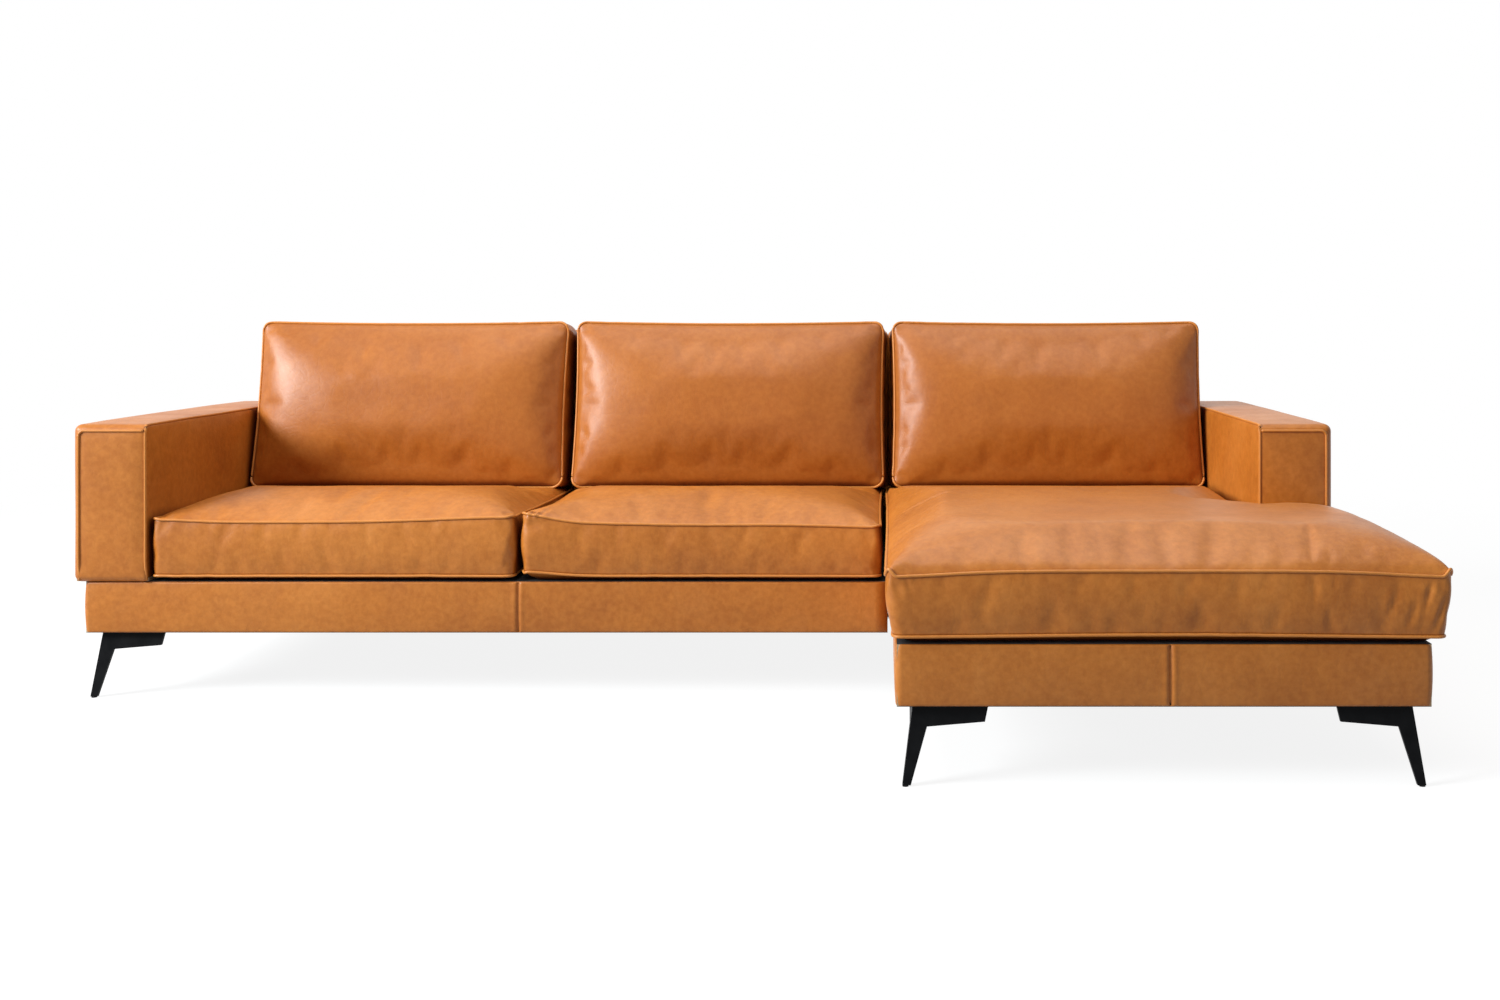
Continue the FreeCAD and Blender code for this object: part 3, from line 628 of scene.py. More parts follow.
def back_stand(left, right):
    """The frame a back cushion is made in: X across, Y up the slope, Z to the front."""
    foot_y = (MAIN_BACK[0].y - BACK_STAND_GAP / math.cos(BACK_RAKE)
              + (BACK_STAND_HEIGHT - Z_DECK) * math.tan(BACK_RAKE))
    turn = Matrix.Rotation(math.pi / 2 - BACK_RAKE, 4, "X")
    return Matrix.Translation(((left + right) / 2, foot_y, BACK_STAND_HEIGHT)) @ turn


def back_floor(place):
    """The height of the bearing plane, which a back cushion stays over."""
    return SEAT_BASE + bearing_height(place.y) + BEARING_CLEAR


def back_cushion(name, left, right, folds):
    """A back cushion, made lying on its stand, with what filling and crumpling need to know."""
    stand = back_stand(left, right)
    unstand = stand.inverted()
    edge = BACK_HALF - SEAM_INSET
    corners = rectangle(Vector((-edge, BACK_SEAM_RISE)), Vector((edge, BACK_HEIGHT - SEAM_INSET)))

    def back_point(point, height):
        place = stand @ Vector((point.x, point.y, height))
        place.z = max(place.z, back_floor(place))
        return place

    def back_limit(place, shift):
        local = unstand.to_3x3() @ shift
        sideways = sideways_of(local, BACK_SIDE_CAP)
        limited = stand.to_3x3() @ Vector((sideways.x, sideways.y, max(0.0, local.z)))
        limited.z = max(limited.z, back_floor(place) - place.z)
        return limited

    def back_keep(place):
        place.z = max(place.z, back_floor(place))
        return place

    item, rims, held = cushion_form(name, corners, BACK_SIZES, back_point, [], [], 0.0, False)
    for vertex in item.data.vertices:
        if vertex.co.z < back_floor(vertex.co) + BACK_HELD:
            held.add(vertex.index)
    return {"name": name, "item": item, "rims": rims, "held": held, "slack": BACK_SLACK,
            "limit": back_limit, "keep": back_keep, "unplace": lambda place: unstand @ place,
            "corners": corners, "seams": (BACK_FOOT + BACK_BOXING, BACK_FOOT), "folds": folds}


LEFT_INNER = LEFT_ARM[1].x
RIGHT_INNER = RIGHT_ARM[0].x
SEAT_GAP = 0.004
NOTCH_GAP = 0.003
JOINT_GAP = 0.0005
SEAM_PROUD = 0.001


def chaise_corners():
    """The chaise seat's L-shaped plan, which passes in front of the right arm."""
    low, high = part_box("chaise_seat_cover")
    notch = Vector((RIGHT_INNER - SEAT_GAP, Y_FRONT - NOTCH_GAP))
    return [Vector((low.x, low.y)), Vector((high.x, low.y)), Vector((high.x, notch.y)),
            notch, Vector((notch.x, high.y)), Vector((low.x, high.y))]


left_seat = rectangle(*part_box("left_seat_cover"))
middle_seat = rectangle(*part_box("middle_seat_cover"))
chaise_seat = chaise_corners()
X_SPLIT = (left_seat[1].x + middle_seat[0].x) / 2
X_JOINT = MAIN_BACK[1].x + JOINT_GAP

# Folds: a spot, the line's direction, its length, width and depth

bunched_corner = [
    ((middle_seat[0].x + reach, Y_FRONT + 0.012, 0.428), (lean, 1.0, 0.2), 0.030, 0.006, 0.0040)
    for reach, lean in ((0.014, -0.1), (0.030, 0.25), (0.048, 0.5))]
chaise_right_folds = [
    ((chaise_seat[1].x - reach, chaise_seat[0].y, height), (0.35, 0.0, 1.0), 0.028, 0.006, 0.0030)
    for reach, height in ((0.030, 0.335), (0.055, 0.365), (0.085, 0.330), (0.120, 0.350))]
chaise_left_folds = [
    ((chaise_seat[0].x + reach, chaise_seat[0].y, height), (-0.5, 0.0, 1.0), 0.018, 0.005, 0.0025)
    for reach, height in ((0.022, 0.385), (0.045, 0.390))]
back_pucker = [
    ((-1.014, 0.450, 0.718), (0.7, 0.1, 0.5), 0.014, 0.008, 0.0045),
    ((-1.000, 0.452, 0.702), (0.1, 0.2, 1.0), 0.016, 0.007, 0.0040)]

cushions = [
    seat_cushion("left_seat", left_seat,
                 [(left_seat[0], 0.007, 0.12), (left_seat[1], 0.012, 0.25)], [], []),
    seat_cushion("middle_seat", middle_seat,
                 [(middle_seat[0], 0.020, 0.09),
                  ((middle_seat[0] + middle_seat[1]) / 2, -0.006, 0.25),
                  (middle_seat[1], -0.010, 0.20)],
                 [(middle_seat[0], 0.010, 0.10)], bunched_corner),
    seat_cushion("chaise_seat", chaise_seat,
                 [(chaise_seat[0], -0.010, 0.16), (chaise_seat[1], -0.010, 0.16)],
                 [((chaise_seat[0] + chaise_seat[1]) / 2, 0.004, 0.38)],
                 chaise_left_folds + chaise_right_folds, CHAISE_TAPER, CHAISE_CROWN),
    back_cushion("left_back_cushion", LEFT_INNER, X_SPLIT, back_pucker),
    back_cushion("middle_back_cushion", X_SPLIT, X_JOINT, []),
    back_cushion("chaise_back_cushion", X_JOINT, RIGHT_INNER, []),
]
fill(cushions)

for number, cushion in enumerate(cushions):
    item = cushion["item"]
    crease_seams(item, cushion["rims"])
    refine(item)
    crumple(cushion, 1.7 * number)
    stand_for(item, cushion["name"], f"{cushion['name']}_cover", f"{cushion['name']}_core")
    for label, loop in (("upper", cushion["rims"][0]), ("lower", cushion["rims"][-1])):
        seam = [item.data.vertices[v].co + item.data.vertices[v].normal * SEAM_PROUD for v in loop]
        cord = tube(f"{cushion['name']}_{label}_piping", curve_through(seam, True), PIPING, True)
        stand_for(cord, cushion["name"])
    item.name = f"{cushion['name']}_leather"


# Padded boxes: the arms and the backs


def padded_box(name, low, high, roll, step, swell, warp=None):
    """A box with rounded edges whose faces swell a little, as quads."""
    axes = []
    for axis in range(3):
        inner = grid_lines([low[axis] + roll, high[axis] - roll], step, step)
        ends = [roll * math.tan(math.radians(a)) for a in (45, 30, 15)]
        axes.append([inner[0] - e for e in ends] + inner + [inner[-1] + e for e in reversed(ends)])
    middle = (low + high) / 2
    half = (high - low) / 2
    points = []
    number = {}

    def index_of(key):
        if key not in number:
            spot = Vector(axes[axis][key[axis]] for axis in range(3))
            core = Vector(max(low[a] + roll, min(high[a] - roll, spot[a])) for a in range(3))
            out = (spot - core).normalized()
            share = [(spot[a] - middle[a]) / half[a] for a in range(3)]
            for a in range(3):
                flat = (1 - share[a - 1] ** 4) * (1 - share[a - 2] ** 4)
                core[a] += out[a] * (roll + swell * max(0.0, flat)) - out[a] * roll
            number[key] = len(points)
            points.append(core + out * roll)
        return number[key]

    faces = []
    for axis in range(3):
        first, second = [a for a in range(3) if a != axis]
        for end in (0, len(axes[axis]) - 1):
            for i in range(len(axes[first]) - 1):
                for j in range(len(axes[second]) - 1):
                    corners = []
                    for di, dj in ((0, 0), (1, 0), (1, 1), (0, 1)):
                        key = [0, 0, 0]
                        key[axis] = end
                        key[first] = i + di
                        key[second] = j + dj
                        corners.append(index_of(tuple(key)))
                    outward = (end != 0) != (axis == 1)
                    faces.append(tuple(corners if outward else reversed(corners)))
    if warp:
        points = [warp(p) for p in points]
    return piece(name, points, faces)


def laid(item, places, direction):
    """The spots where straight lines from some places first meet a piece, a touch proud of it."""
    found = []
    for place in places:
        hit, spot, normal, face = item.ray_cast(Vector(place), Vector(direction))
        if hit:
            found.append(spot + normal * WELT_PROUD)
    return found


WELT_PROUD = 0.0009
ARM_ROLL = 0.016
ARM_SWELL = 0.004
ARM_STEP = 0.02
ARM_WELT_INSET = 0.0145
ARM_WELT_BEND = 0.012
ARM_CRISP = 0.45
ARM_WAVE = 0.0012
WELT_FOOT = 0.004
WELT_REACH = 0.012
RAY_REACH = 0.1


def welt(name, route):
    """A line of piping that rides with the frame."""
    stand_for(tube(name, curve_through(route, False, 3), PIPING, False), "root")


def arc(centre, radius, start, end, parts=6):
    """Points along part of a circle, as pairs of coordinates."""
    return [(centre[0] + radius * math.cos(math.radians(angle)),
             centre[1] + radius * math.sin(math.radians(angle)))
            for angle in spread(start, end, parts)]


def arm_warp(low, high, inner, toward):
    """Squares an arm's inner edges, where its piping runs, and waves its leather a little."""
    core_x = inner - toward * ARM_ROLL
    core_z = high.z - ARM_ROLL

    def warp(point):
        across = (point.x - core_x) * toward / ARM_ROLL
        ahead = max(low.y + ARM_ROLL - point.y, point.y - high.y + ARM_ROLL, 0.0) / ARM_ROLL
        above = max(point.z - core_z, 0.0) / ARM_ROLL
        other = math.hypot(ahead, above)
        place = point.copy()
        if across > 0.001 and other > 0.001:
            grown = min(1.0, other) ** ARM_CRISP / other
            place.x = core_x + toward * ARM_ROLL * min(1.0, across) ** ARM_CRISP
            place.z += (grown - 1) * above * ARM_ROLL
            if ahead:
                front = point.y < low.y + ARM_ROLL
                place.y += (grown - 1) * ahead * ARM_ROLL * (-1 if front else 1)
        wave = noise.noise(point * 6) * ARM_WAVE
        return place + Vector((wave * 0.5, wave, wave * 0.5))

    return warp


def arm_welts(side, arm, low, high, inner, outer, toward):
    """Piping round both ends of an arm and along its inner top edge."""
    edge = inner - toward * PIPING
    foot = low.z + WELT_FOOT
    rise = spread(foot, high.z - 0.010, 8)
    run = spread(low.y + WELT_REACH, high.y - WELT_REACH, 20)
    route = laid(arm, [(edge, low.y - RAY_REACH, z) for z in rise], (0, 1, 0))
    route += laid(arm, [(edge, y, high.z + RAY_REACH) for y in run], (0, 0, -1))
    route += laid(arm, [(edge, high.y + RAY_REACH, z) for z in reversed(rise)], (0, -1, 0))
    welt(f"{side}_arm_inner_piping", route)
    top = high.z - ARM_WELT_INSET
    far = outer + toward * ARM_WELT_INSET
    bend = ARM_WELT_BEND
    stops = [(inner - toward * (0.006 + 0.02 * step), top) for step in range(7)]
    corner = arc((0, top - bend), bend, 90, 180)
    stops += [(far + toward * (bend + x), z) for x, z in corner]
    stops += [(far, z) for z in spread(top - bend, foot, 8)[1:]]
    for label, start, direction in (("front", low.y - RAY_REACH, 1),
                                    ("rear", high.y + RAY_REACH, -1)):
        route = laid(arm, [(x, start, z) for x, z in stops], (0, direction, 0))
        welt(f"{side}_arm_{label}_piping", route)


for side, (low, high) in (("left", LEFT_ARM), ("right", RIGHT_ARM)):
    toward = 1 if side == "left" else -1
    inner, outer = (high.x, low.x) if side == "left" else (low.x, high.x)
    arm = padded_box(f"{side}_arm_leather", low, high, ARM_ROLL, ARM_STEP, ARM_SWELL,
                     arm_warp(low, high, inner, toward))
    stand_for(arm, "root", f"{side}_arm_cover", f"{side}_arm_padding")
    arm_welts(side, arm, low, high, inner, outer, toward)

# Backs: padded slabs whose front face leans, piped along the top at the rear

BACK_ROLL = 0.014
BACK_PANEL_SWELL = 0.003
BACK_STEP = 0.03


def back_slab(name, box):
    """A back's leather, as thick at each height as its raked front face leaves it."""
    low, high = box
    deep = high.y - low.y

    def lean(point):
        share = (high.y - point.y) / deep
        thickness = deep - (point.z - low.z) * math.tan(BACK_RAKE)
        return Vector((point.x, high.y - share * thickness, point.z))

    low = Vector((low.x, low.y, Z_DECK))
    return padded_box(name, low, high, BACK_ROLL, BACK_STEP, BACK_PANEL_SWELL, lean)


def back_welt(label, slab, low, high):
    """Piping down one end of a back's rear face, along its top and down the other end."""
    near = low.x + BACK_ROLL
    far = high.x - BACK_ROLL
    top = high.z - BACK_ROLL
    foot = Z_DECK + 0.006
    rise = spread(foot, top - 0.02, 8)
    stops = [(near, z) for z in rise]
    stops += [(x, top) for x in spread(near, far, 30)[1:-1]]
    stops += [(far, z) for z in reversed(rise)]
    welt(f"{label}_back_piping",
         laid(slab, [(x, high.y + RAY_REACH, z) for x, z in stops], (0, -1, 0)))


for label, box in (("main", MAIN_BACK), ("chaise", CHAISE_BACK)):
    slab = back_slab(f"{label}_back_leather", box)
    stand_for(slab, "root", f"{label}_back_cover")
    back_welt(label, slab, *box)


# Bases: leather bands stretched over the rails, with rounded edges and a sewn join

BAND_SKIN = 0.0016
BAND_GAP = 0.0004
MAIN_BAND_CORNER = 0.010
CHAISE_BAND_CORNER = 0.012
BAND_PROUD = 0.0015
BAND_SWELL = 0.0025
BAND_EDGE = 0.006
BAND_WAVE = 0.0016
SEAM_WIDTH = 0.0030
SEAM_DEPTH = 0.0034
SEAM_LIP = 0.008
SEAM_RISE = 0.0012
SEAM_STEPS = (0.002, 0.004, 0.008, 0.012, 0.02)
MAIN_SEAM_X = -0.451
CHAISE_SEAM_X = 0.940


def band_section(low, high):
    """The outline of a base band: distance out from the leather's plane, and height."""
    section = [(-BAND_SKIN, high - BAND_GAP), (-BAND_SKIN, low + BAND_GAP)]
    section += arc((BAND_PROUD - BAND_EDGE, low + BAND_EDGE), BAND_EDGE, -90, 0, 4)
    steps = 8
    for step in range(1, steps):
        share = step / steps
        section.append((BAND_PROUD + BAND_SWELL * math.sin(math.pi * share),
                        low + BAND_EDGE + (high - low - 2 * BAND_EDGE) * share))
    section += arc((BAND_PROUD - BAND_EDGE, high - BAND_EDGE), BAND_EDGE, 0, 90, 4)
    return section


def band_route(corners, radius, closed, seams, step=0.03):
    """Plan points and outward directions along a route, finer beside each seam."""
    route = []
    count = len(corners)
    last = count if closed else count - 1
    for index in range(last):
        start = corners[index]
        end = corners[(index + 1) % count]
        along = (end - start).normalized()
        outward = Vector((along.y, -along.x))
        length = (end - start).length
        head = radius if closed or index else 0.0
        tail = radius if closed or index < last - 1 else 0.0
        stops = {head, length - tail}
        for seam in seams:
            place = (seam - start).dot(along)
            if abs((seam - start).dot(outward)) < 0.001 and head < place < length - tail:
                stops.add(place)
                for reach in SEAM_STEPS:
                    stops.update((place - reach, place + reach))
        for place in grid_lines(sorted(stops), step, step):
            route.append((start + along * place, outward))
        if tail:
            following = corners[(index + 2) % count]
            onward = (following - end).normalized()
            centre = end - along * radius + onward * radius
            turned = Vector((onward.y, -onward.x))
            for part in range(1, 6):
                mix = outward.slerp(turned, part / 6)
                route.append((centre + mix * radius, mix))
    return route


def band(name, corners, radius, closed, seams, low, high):
    """A leather band along a route, its seams drawn in."""
    section = band_section(low, high)
    route = band_route(corners, radius, closed, seams)
    points = []
    for spot, outward in route:
        gaps = [(spot - seam).length for seam in seams]
        groove = sum(math.exp(-(gap / SEAM_WIDTH) ** 2) for gap in gaps)
        lips = sum(math.exp(-((gap - SEAM_LIP) / SEAM_WIDTH) ** 2) for gap in gaps)
        for out, height in section:
            wave = noise.noise(Vector((spot.x * 7, spot.y * 7, height * 5)))
            drawn = out
            if out > 0:
                drawn += BAND_WAVE * wave - SEAM_DEPTH * groove + SEAM_RISE * lips
            place = spot + outward * drawn
            points.append(Vector((place.x, place.y, height)))
    return piece(name, points, ring_faces(len(route), len(section), closed))


def plan_corners(names):
    """The plan rectangle round some nodes."""
    return rectangle(*plan_limits([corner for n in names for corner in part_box(n)]))


main_nodes = ["main_front_border", "main_left_border", "main_rear_border"]
chaise_nodes = ["chaise_front_border", "chaise_right_border", "chaise_rear_border",
                "chaise_left_border"]
main_plan = plan_corners(main_nodes)
chaise_plan = plan_corners(chaise_nodes)
main_band = band("main_base_leather", main_plan[2:] + main_plan[:2], MAIN_BAND_CORNER, False,
                 [Vector((MAIN_SEAM_X, main_plan[0].y)), Vector((MAIN_SEAM_X, main_plan[2].y))],
                 Z_BASE, Z_DECK)
chaise_band = band("chaise_base_leather", chaise_plan, CHAISE_BAND_CORNER, True,
                   [Vector((CHAISE_SEAM_X, chaise_plan[0].y))], Z_BASE, Z_DECK)
for item, names in ((main_band, main_nodes), (chaise_band, chaise_nodes)):
    stand_for(item, "root", *names)


# Materials, all from nodes


def bare_tree(owner, output_kind):
    """The emptied node tree of a material or world, and its output."""
    owner.use_nodes = True
    tree = owner.node_tree
    tree.nodes.clear()
    return tree, tree.nodes.new(output_kind)


def start_material(name):
    """An empty node material with its shader and output."""
    material = bpy.data.materials.new(name)
    tree, output = bare_tree(material, "ShaderNodeOutputMaterial")
    shader = tree.nodes.new("ShaderNodeBsdfPrincipled")
    tree.links.new(shader.outputs[0], output.inputs[0])
    return material, tree, shader


def dress(tree, shader, **sockets):
    """Links or sets a shader's inputs, each named with _ for a space."""
    for key, value in sockets.items():
        socket = shader.inputs[key.replace("_", " ")]
        if isinstance(value, bpy.types.NodeSocket):
            tree.links.new(value, socket)
        else:
            socket.default_value = value


def add(tree, kind, inputs=None, **settings):
    """A node with its settings and its inputs, each a number, a colour or another's output."""
    item = tree.nodes.new(kind)
    for key, value in settings.items():
        setattr(item, key, value)
    for key, value in (inputs or {}).items():
        if isinstance(value, bpy.types.NodeSocket):
            tree.links.new(value, item.inputs[key])
        else:
            item.inputs[key].default_value = value
    return item


def ramp(tree, factor, stops):
    """A colour ramp through (place, colour) stops."""
    item = add(tree, "ShaderNodeValToRGB", {0: factor})
    elements = item.color_ramp.elements
    while len(elements) < len(stops):
        elements.new(0.5)
    for element, (spot, colour) in zip(elements, stops):
        element.position = spot
        element.color = (*colour, 1.0)
    return item.outputs[0]


def grey(value):
    return (value, value, value)


def place_of(tree):
    return add(tree, "ShaderNodeTexCoord").outputs["Object"]


def clouds(tree, place, scale, detail=3.0, roughness=0.55, distortion=0.0):
    return add(tree, "ShaderNodeTexNoise", {"Vector": place, "Scale": scale, "Detail": detail,
                                            "Roughness": roughness,
                                            "Distortion": distortion}).outputs[0]


def blend(tree, share, one, two, kind="MIX"):
    """Two colours mixed."""
    item = add(tree, "ShaderNodeMix", data_type="RGBA", blend_type=kind)
    for key, value in ((0, share), (6, one), (7, two)):
        if isinstance(value, bpy.types.NodeSocket):
            tree.links.new(value, item.inputs[key])
        elif isinstance(value, tuple):
            item.inputs[key].default_value = (*value, 1.0)
        else:
            item.inputs[key].default_value = value
    return item.outputs[2]


def bump(tree, height, distance, strength=1.0, under=None):
    inputs = {"Height": height, "Distance": distance, "Strength": strength}
    if under is not None:
        inputs["Normal"] = under
    return add(tree, "ShaderNodeBump", inputs).outputs[0]


# Leather: its three tones, how far the back cushions' leather goes to the dark one as painted
# shade, and how far the piping's leather goes to the light one as a painted highlight

TAN_DARK = (0.290, 0.074, 0.0060)
TAN = (0.520, 0.168, 0.0170)
TAN_LIGHT = (0.700, 0.275, 0.0550)
BACK_PAINTED_SHADE = 0.40
WELT_PAINTED_HIGHLIGHT = 0.6


def leather_material(name, painted_highlight=0.0, shift=(0, 0, 0), painted_shade=0.0):
    """Mottled pull-up leather: cloudy tone, fine pebble grain, soft creases and satin sheen.
    Painted shade darkens its crevices unless it is lightened; it may be taken towards the dark
    tone as painted shade, or towards the light one as a painted highlight.
    """
    material, tree, shader = start_material(name)
    place = add(tree, "ShaderNodeMapping", {"Vector": place_of(tree),
                                            "Location": shift}).outputs[0]
    broad = clouds(tree, place, 2.6, 4.0, 0.55, 0.3)
    patch = clouds(tree, place, 9.0, 5.0, 0.6, 0.2)
    fleck = clouds(tree, place, 70.0, 4.0, 0.6)
    base = ramp(tree, broad, [(0.28, TAN_DARK), (0.52, TAN), (0.80, TAN_LIGHT)])
    base = blend(tree, 0.35, base, TAN)
    base = blend(tree, 0.30, base, ramp(tree, patch, [(0.30, TAN_DARK), (0.52, TAN),
                                                      (0.75, TAN_LIGHT)]))
    base = blend(tree, 0.20, base, ramp(tree, fleck, [(0.35, TAN_DARK), (0.65, TAN_LIGHT)]))
    # Painted highlight: the piping's leather is taken towards the light tone, for the light line
    # it catches
    if painted_highlight:
        base = blend(tree, painted_highlight, base, TAN_LIGHT)
    # Painted shade: the back cushions' leather is taken towards the dark tone, as if it lay in
    # shade
    if painted_shade:
        base = blend(tree, painted_shade, base, TAN_DARK)
    cells = add(tree, "ShaderNodeTexVoronoi", {"Vector": place, "Scale": 520.0},
                feature="DISTANCE_TO_EDGE").outputs["Distance"]
    pebble = ramp(tree, cells, [(0.0, grey(0.0)), (0.28, grey(1.0))])
    drift = add(tree, "ShaderNodeTexNoise", {"Vector": place, "Scale": 9.0,
                                             "Detail": 3.0}).outputs[1]
    drift = add(tree, "ShaderNodeVectorMath", {0: drift, "Scale": 0.05},
                operation="SCALE").outputs[0]
    wander = add(tree, "ShaderNodeVectorMath", {0: place, 1: drift}, operation="ADD").outputs[0]
    folds = add(tree, "ShaderNodeTexVoronoi", {"Vector": wander, "Scale": 30.0},
                feature="DISTANCE_TO_EDGE").outputs["Distance"]
    crease = ramp(tree, folds, [(0.0, grey(0.0)), (0.10, grey(1.0))])
    soft = clouds(tree, place, 140.0, 3.0)
    normal = bump(tree, pebble, 0.00012, 0.5)
    normal = bump(tree, soft, 0.0005, 0.30, normal)
    normal = bump(tree, crease, 0.0006, 0.16, normal)
    normal = bump(tree, patch, 0.005, 0.22, normal)
    base = blend(tree, 0.08, base, blend(tree, crease, TAN_DARK, TAN), "MULTIPLY")
    # Painted shade: ambient occlusion darkens the colour in seams, creases and gaps between
    # pieces, except on the lightened piping leather
    if not painted_highlight:
        nook = add(tree, "ShaderNodeAmbientOcclusion", {"Distance": 0.030}, samples=8)
        shade = ramp(tree, nook.outputs["AO"], [(0.25, (0.30, 0.16, 0.10)), (0.80, grey(1.0))])
        base = blend(tree, 1.0, base, shade, "MULTIPLY")
    gloss = ramp(tree, patch, [(0.30, grey(0.47)), (0.70, grey(0.37))])
    dress(tree, shader, Base_Color=base, Roughness=gloss, Normal=normal,
          Specular_IOR_Level=0.36, Coat_Weight=0.10, Coat_Roughness=0.32)
    return material


def metal_material(name, colour, roughness, metallic, scratch, specular=0.5):
    """Metal with faint cloudy wear in its gloss and a fine rolled or sprayed grain."""
    material, tree, shader = start_material(name)
    place = place_of(tree)
    cloud = clouds(tree, place, 25.0, 4.0)
    grain = clouds(tree, place, scratch, 2.0)
    light = tuple(min(1.0, c * 1.35 + 0.004) for c in colour)
    gloss = ramp(tree, cloud, [(0.3, grey(roughness * 0.85)), (0.7, grey(roughness * 1.15))])
    dress(tree, shader, Base_Color=ramp(tree, cloud, [(0.35, colour), (0.70, light)]),
          Roughness=gloss, Normal=bump(tree, grain, 0.0001, 0.4), Metallic=metallic,
          Specular_IOR_Level=specular)
    return material


def timber_material(name):
    """Planed hardwood: stretched rings, streaks and pores."""
    material, tree, shader = start_material(name)
    place = place_of(tree)
    stretch = add(tree, "ShaderNodeMapping", {"Vector": place, "Scale": (3.0, 3.0, 14.0)})
    rings = clouds(tree, stretch.outputs[0], 6.0, 6.0, 0.6, 1.2)
    pores = clouds(tree, stretch.outputs[0], 160.0, 2.0)
    base = ramp(tree, rings, [(0.30, (0.36, 0.22, 0.11)), (0.55, (0.58, 0.41, 0.24)),
                              (0.75, (0.68, 0.52, 0.33))])
    base = blend(tree, 0.2, base, ramp(tree, pores, [(0.4, (0.28, 0.17, 0.09)),
                                                     (0.6, (0.66, 0.50, 0.32))]))
    dress(tree, shader, Base_Color=base, Normal=bump(tree, pores, 0.0003, 0.4), Roughness=0.62)
    return material


def cloth_material(name, dark, light, threads):
    """Woven lining or webbing: crossed threads a millimetre or so apart."""
    material, tree, shader = start_material(name)
    place = place_of(tree)
    across = add(tree, "ShaderNodeTexWave", {"Vector": place, "Scale": threads,
                                             "Distortion": 0.6}, bands_direction="X")
    along = add(tree, "ShaderNodeTexWave", {"Vector": place, "Scale": threads,
                                            "Distortion": 0.6}, bands_direction="Y")
    weave = blend(tree, 0.5, across.outputs[0], along.outputs[0])
    cloud = clouds(tree, place, 18.0, 3.0)
    base = blend(tree, 0.5, ramp(tree, weave, [(0.2, dark), (0.8, light)]),
                 ramp(tree, cloud, [(0.3, dark), (0.7, light)]))
    dress(tree, shader, Base_Color=base, Normal=bump(tree, weave, 0.0004, 0.5), Roughness=0.9)
    return material


leather = leather_material("tan_leather")
back_leather = leather_material("back_leather", 0.0, (3.1, 1.7, 0.4), BACK_PAINTED_SHADE)
welt_leather = leather_material("welt_leather", WELT_PAINTED_HIGHLIGHT)
finishes = {
    "timber": timber_material("timber"),
    "lining": cloth_material("black_lining", (0.010, 0.010, 0.011), (0.040, 0.040, 0.043), 260.0),
    "webbing": cloth_material("webbing", (0.05, 0.05, 0.055), (0.16, 0.16, 0.17), 180.0),
    "foam": cloth_material("foam", (0.70, 0.66, 0.55), (0.86, 0.83, 0.74), 90.0),
    "leg_metal": metal_material("black_metal", (0.003, 0.0033, 0.004), 0.45, 0.0, 900.0, 0.06),
    "zinc_steel": metal_material("zinc_steel", (0.52, 0.53, 0.55), 0.34, 1.0, 700.0),
    "glide_plastic": metal_material("glide_plastic", (0.004, 0.004, 0.004), 0.6, 0.0, 500.0, 0.2),
    "leather": leather,
}
slot_of = {s["node"]: s["material_slot"] for s in frame["record"]["subparts"]}
for name, item in nodes.items():
    item.data.materials.clear()
    item.data.materials.append(finishes[slot_of[name]])
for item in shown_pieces():
    if item.name not in nodes:
        item.data.materials.clear()
        finish = leather
        # Back cushions take the leather darkened with painted shade; piping takes the leather
        # lightened with a painted highlight
        if "back_cushion" in item.name:
            finish = back_leather
        if "piping" in item.name:
            finish = welt_leather
        item.data.materials.append(finish)


# Floor, light and camera

FLOOR_REACH = 30.0
FLOOR_NEAR = 2.2
FLOOR_FAR = 5.0

floor_end = Vector((FLOOR_REACH, FLOOR_REACH))
floor = piece("floor", [(p.x, p.y, 0) for p in rectangle(-floor_end, floor_end)],
              [(0, 1, 2, 3)], False)


def seen_directly(tree):
    """One for camera, glossy and transmitted rays, and nought for diffuse light."""
    path = add(tree, "ShaderNodeLightPath")
    seen = add(tree, "ShaderNodeMath", {0: path.outputs["Is Camera Ray"],
                                        1: path.outputs["Is Glossy Ray"]}, operation="MAXIMUM")
    return add(tree, "ShaderNodeMath", {0: seen.outputs[0],
                                        1: path.outputs["Is Transmission Ray"]},
               operation="MAXIMUM").outputs[0]


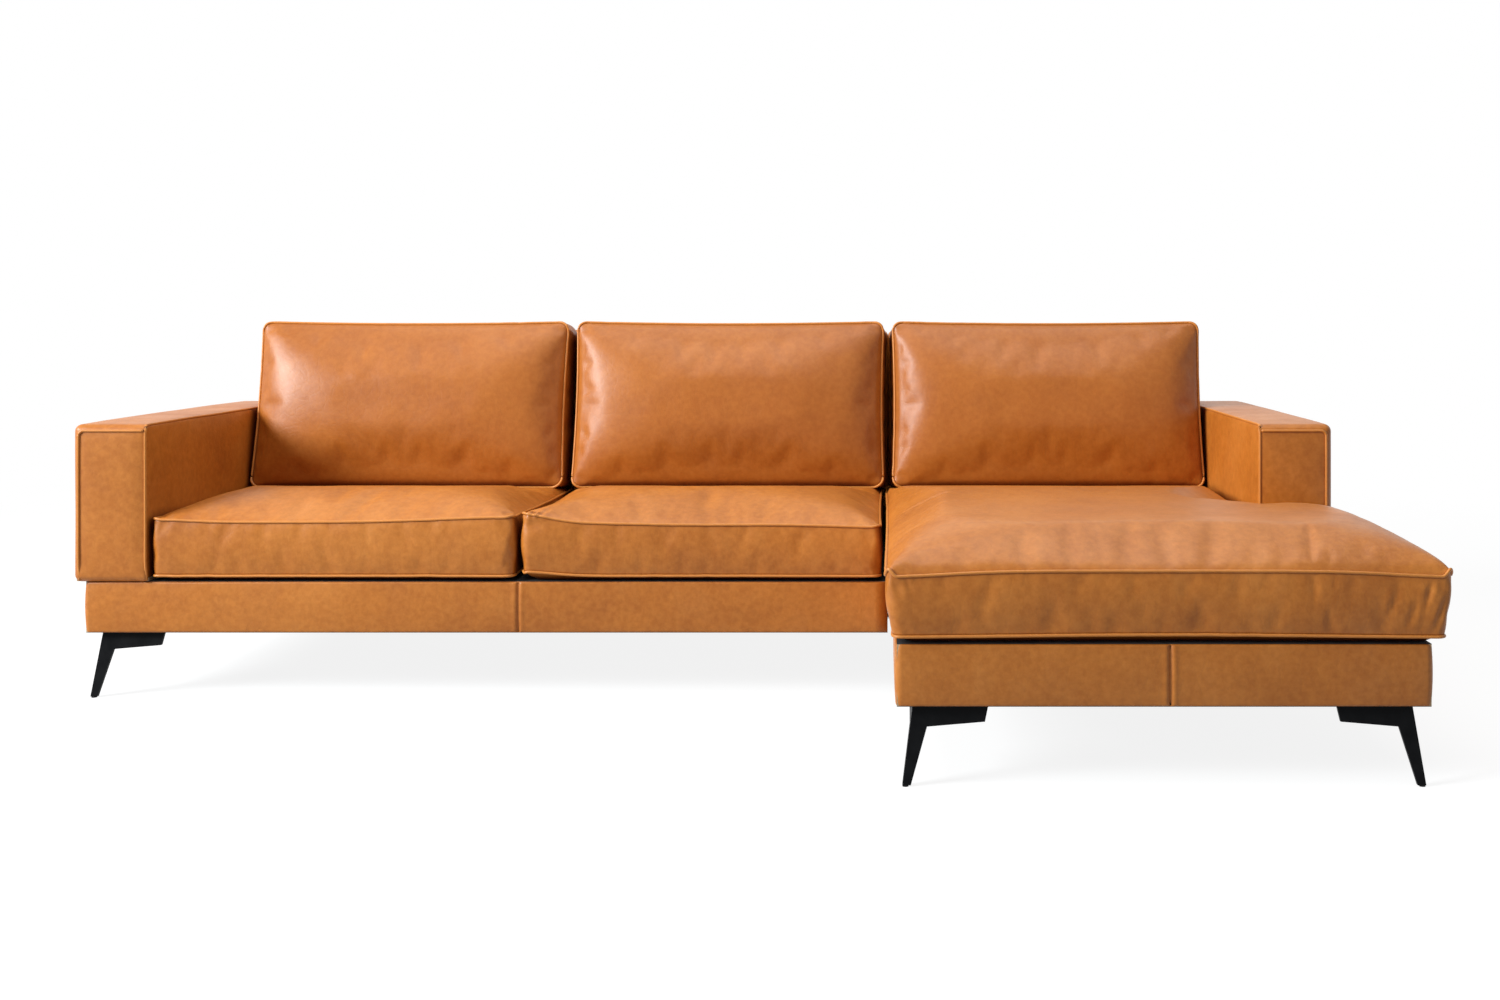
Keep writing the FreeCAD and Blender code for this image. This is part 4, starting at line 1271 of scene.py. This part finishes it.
def floor_material():
    """Seen, it glows nearly white and keeps shadows, and far off it is plain white."""
    material = bpy.data.materials.new("floor")
    tree, output = bare_tree(material, "ShaderNodeOutputMaterial")
    matte = add(tree, "ShaderNodeBsdfDiffuse", {"Color": (0.22, 0.22, 0.22, 1)})
    glow = add(tree, "ShaderNodeEmission", {"Color": (1, 1, 1, 1), "Strength": 0.87})
    near = add(tree, "ShaderNodeAddShader", {0: matte.outputs[0], 1: glow.outputs[0]})
    white = add(tree, "ShaderNodeEmission", {"Color": (1, 1, 1, 1), "Strength": 1.0})
    reach = add(tree, "ShaderNodeVectorMath", {0: place_of(tree)}, operation="LENGTH")
    far = add(tree, "ShaderNodeMapRange", {"Value": reach.outputs["Value"],
                                           "From Min": FLOOR_NEAR, "From Max": FLOOR_FAR},
              interpolation_type="SMOOTHSTEP")
    shown = add(tree, "ShaderNodeMixShader", {0: far.outputs[0], 1: near.outputs[0],
                                              2: white.outputs[0]})
    pale = add(tree, "ShaderNodeBsdfDiffuse", {"Color": (0.40, 0.40, 0.40, 1)})
    mix = add(tree, "ShaderNodeMixShader", {0: seen_directly(tree), 1: pale.outputs[0],
                                            2: shown.outputs[0]})
    tree.links.new(mix.outputs[0], output.inputs[0])
    return material


floor.data.materials.append(floor_material())


def world_light(strength):
    """An even white surround: full white where it is seen, softer as light."""
    world = bpy.data.worlds.new("surround")
    bpy.context.scene.world = world
    tree, output = bare_tree(world, "ShaderNodeOutputWorld")
    level = add(tree, "ShaderNodeMapRange", {"Value": seen_directly(tree), "To Min": strength,
                                             "To Max": 1.0})
    glow = add(tree, "ShaderNodeBackground", {"Color": (1, 1, 1, 1),
                                              "Strength": level.outputs[0]})
    tree.links.new(glow.outputs[0], output.inputs[0])


def soft_box(name, place, target, width, height, power, colour=(1, 1, 1)):
    """A rectangular studio light turned towards a point."""
    data = bpy.data.lights.new(name, "AREA")
    data.shape = "RECTANGLE"
    data.size = width
    data.size_y = height
    data.energy = power
    data.color = colour
    item = placed(name, data)
    item.location = place
    item.rotation_euler = (Vector(target) - Vector(place)).to_track_quat("-Z", "Y").to_euler()


SURROUND = 0.18
WINDOW_POWER = 820
WINDOW_COLOUR = (0.94, 0.98, 1.0)
CEILING_POWER = 85

world_light(SURROUND)
soft_box("window", (-6.5, -3.2, 3.6), (-0.2, 0.1, 0.45), 2.8, 2.4, WINDOW_POWER,
         WINDOW_COLOUR)
soft_box("ceiling", (0.0, -0.3, 3.6), (0.0, -0.1, 0.4), 4.0, 3.0, CEILING_POWER)

camera_data = bpy.data.cameras.new("camera")
camera_data.sensor_width = SENSOR
camera_data.lens = SENSOR * FOCAL_PIXELS / IMAGE[0]
camera_data.shift_x = (IMAGE[0] / 2 - VANISHING_PIXEL[0]) / IMAGE[0]
camera_data.shift_y = (VANISHING_PIXEL[1] - IMAGE[1] / 2) / IMAGE[0]
camera = placed("camera", camera_data)
camera.location = (X_JOINT, Y_FRONT - CAMERA_REACH, CAMERA_HEIGHT)
camera.rotation_euler = (math.pi / 2, 0, 0)
bpy.context.scene.camera = camera
bpy.context.scene.view_settings.view_transform = "Standard"
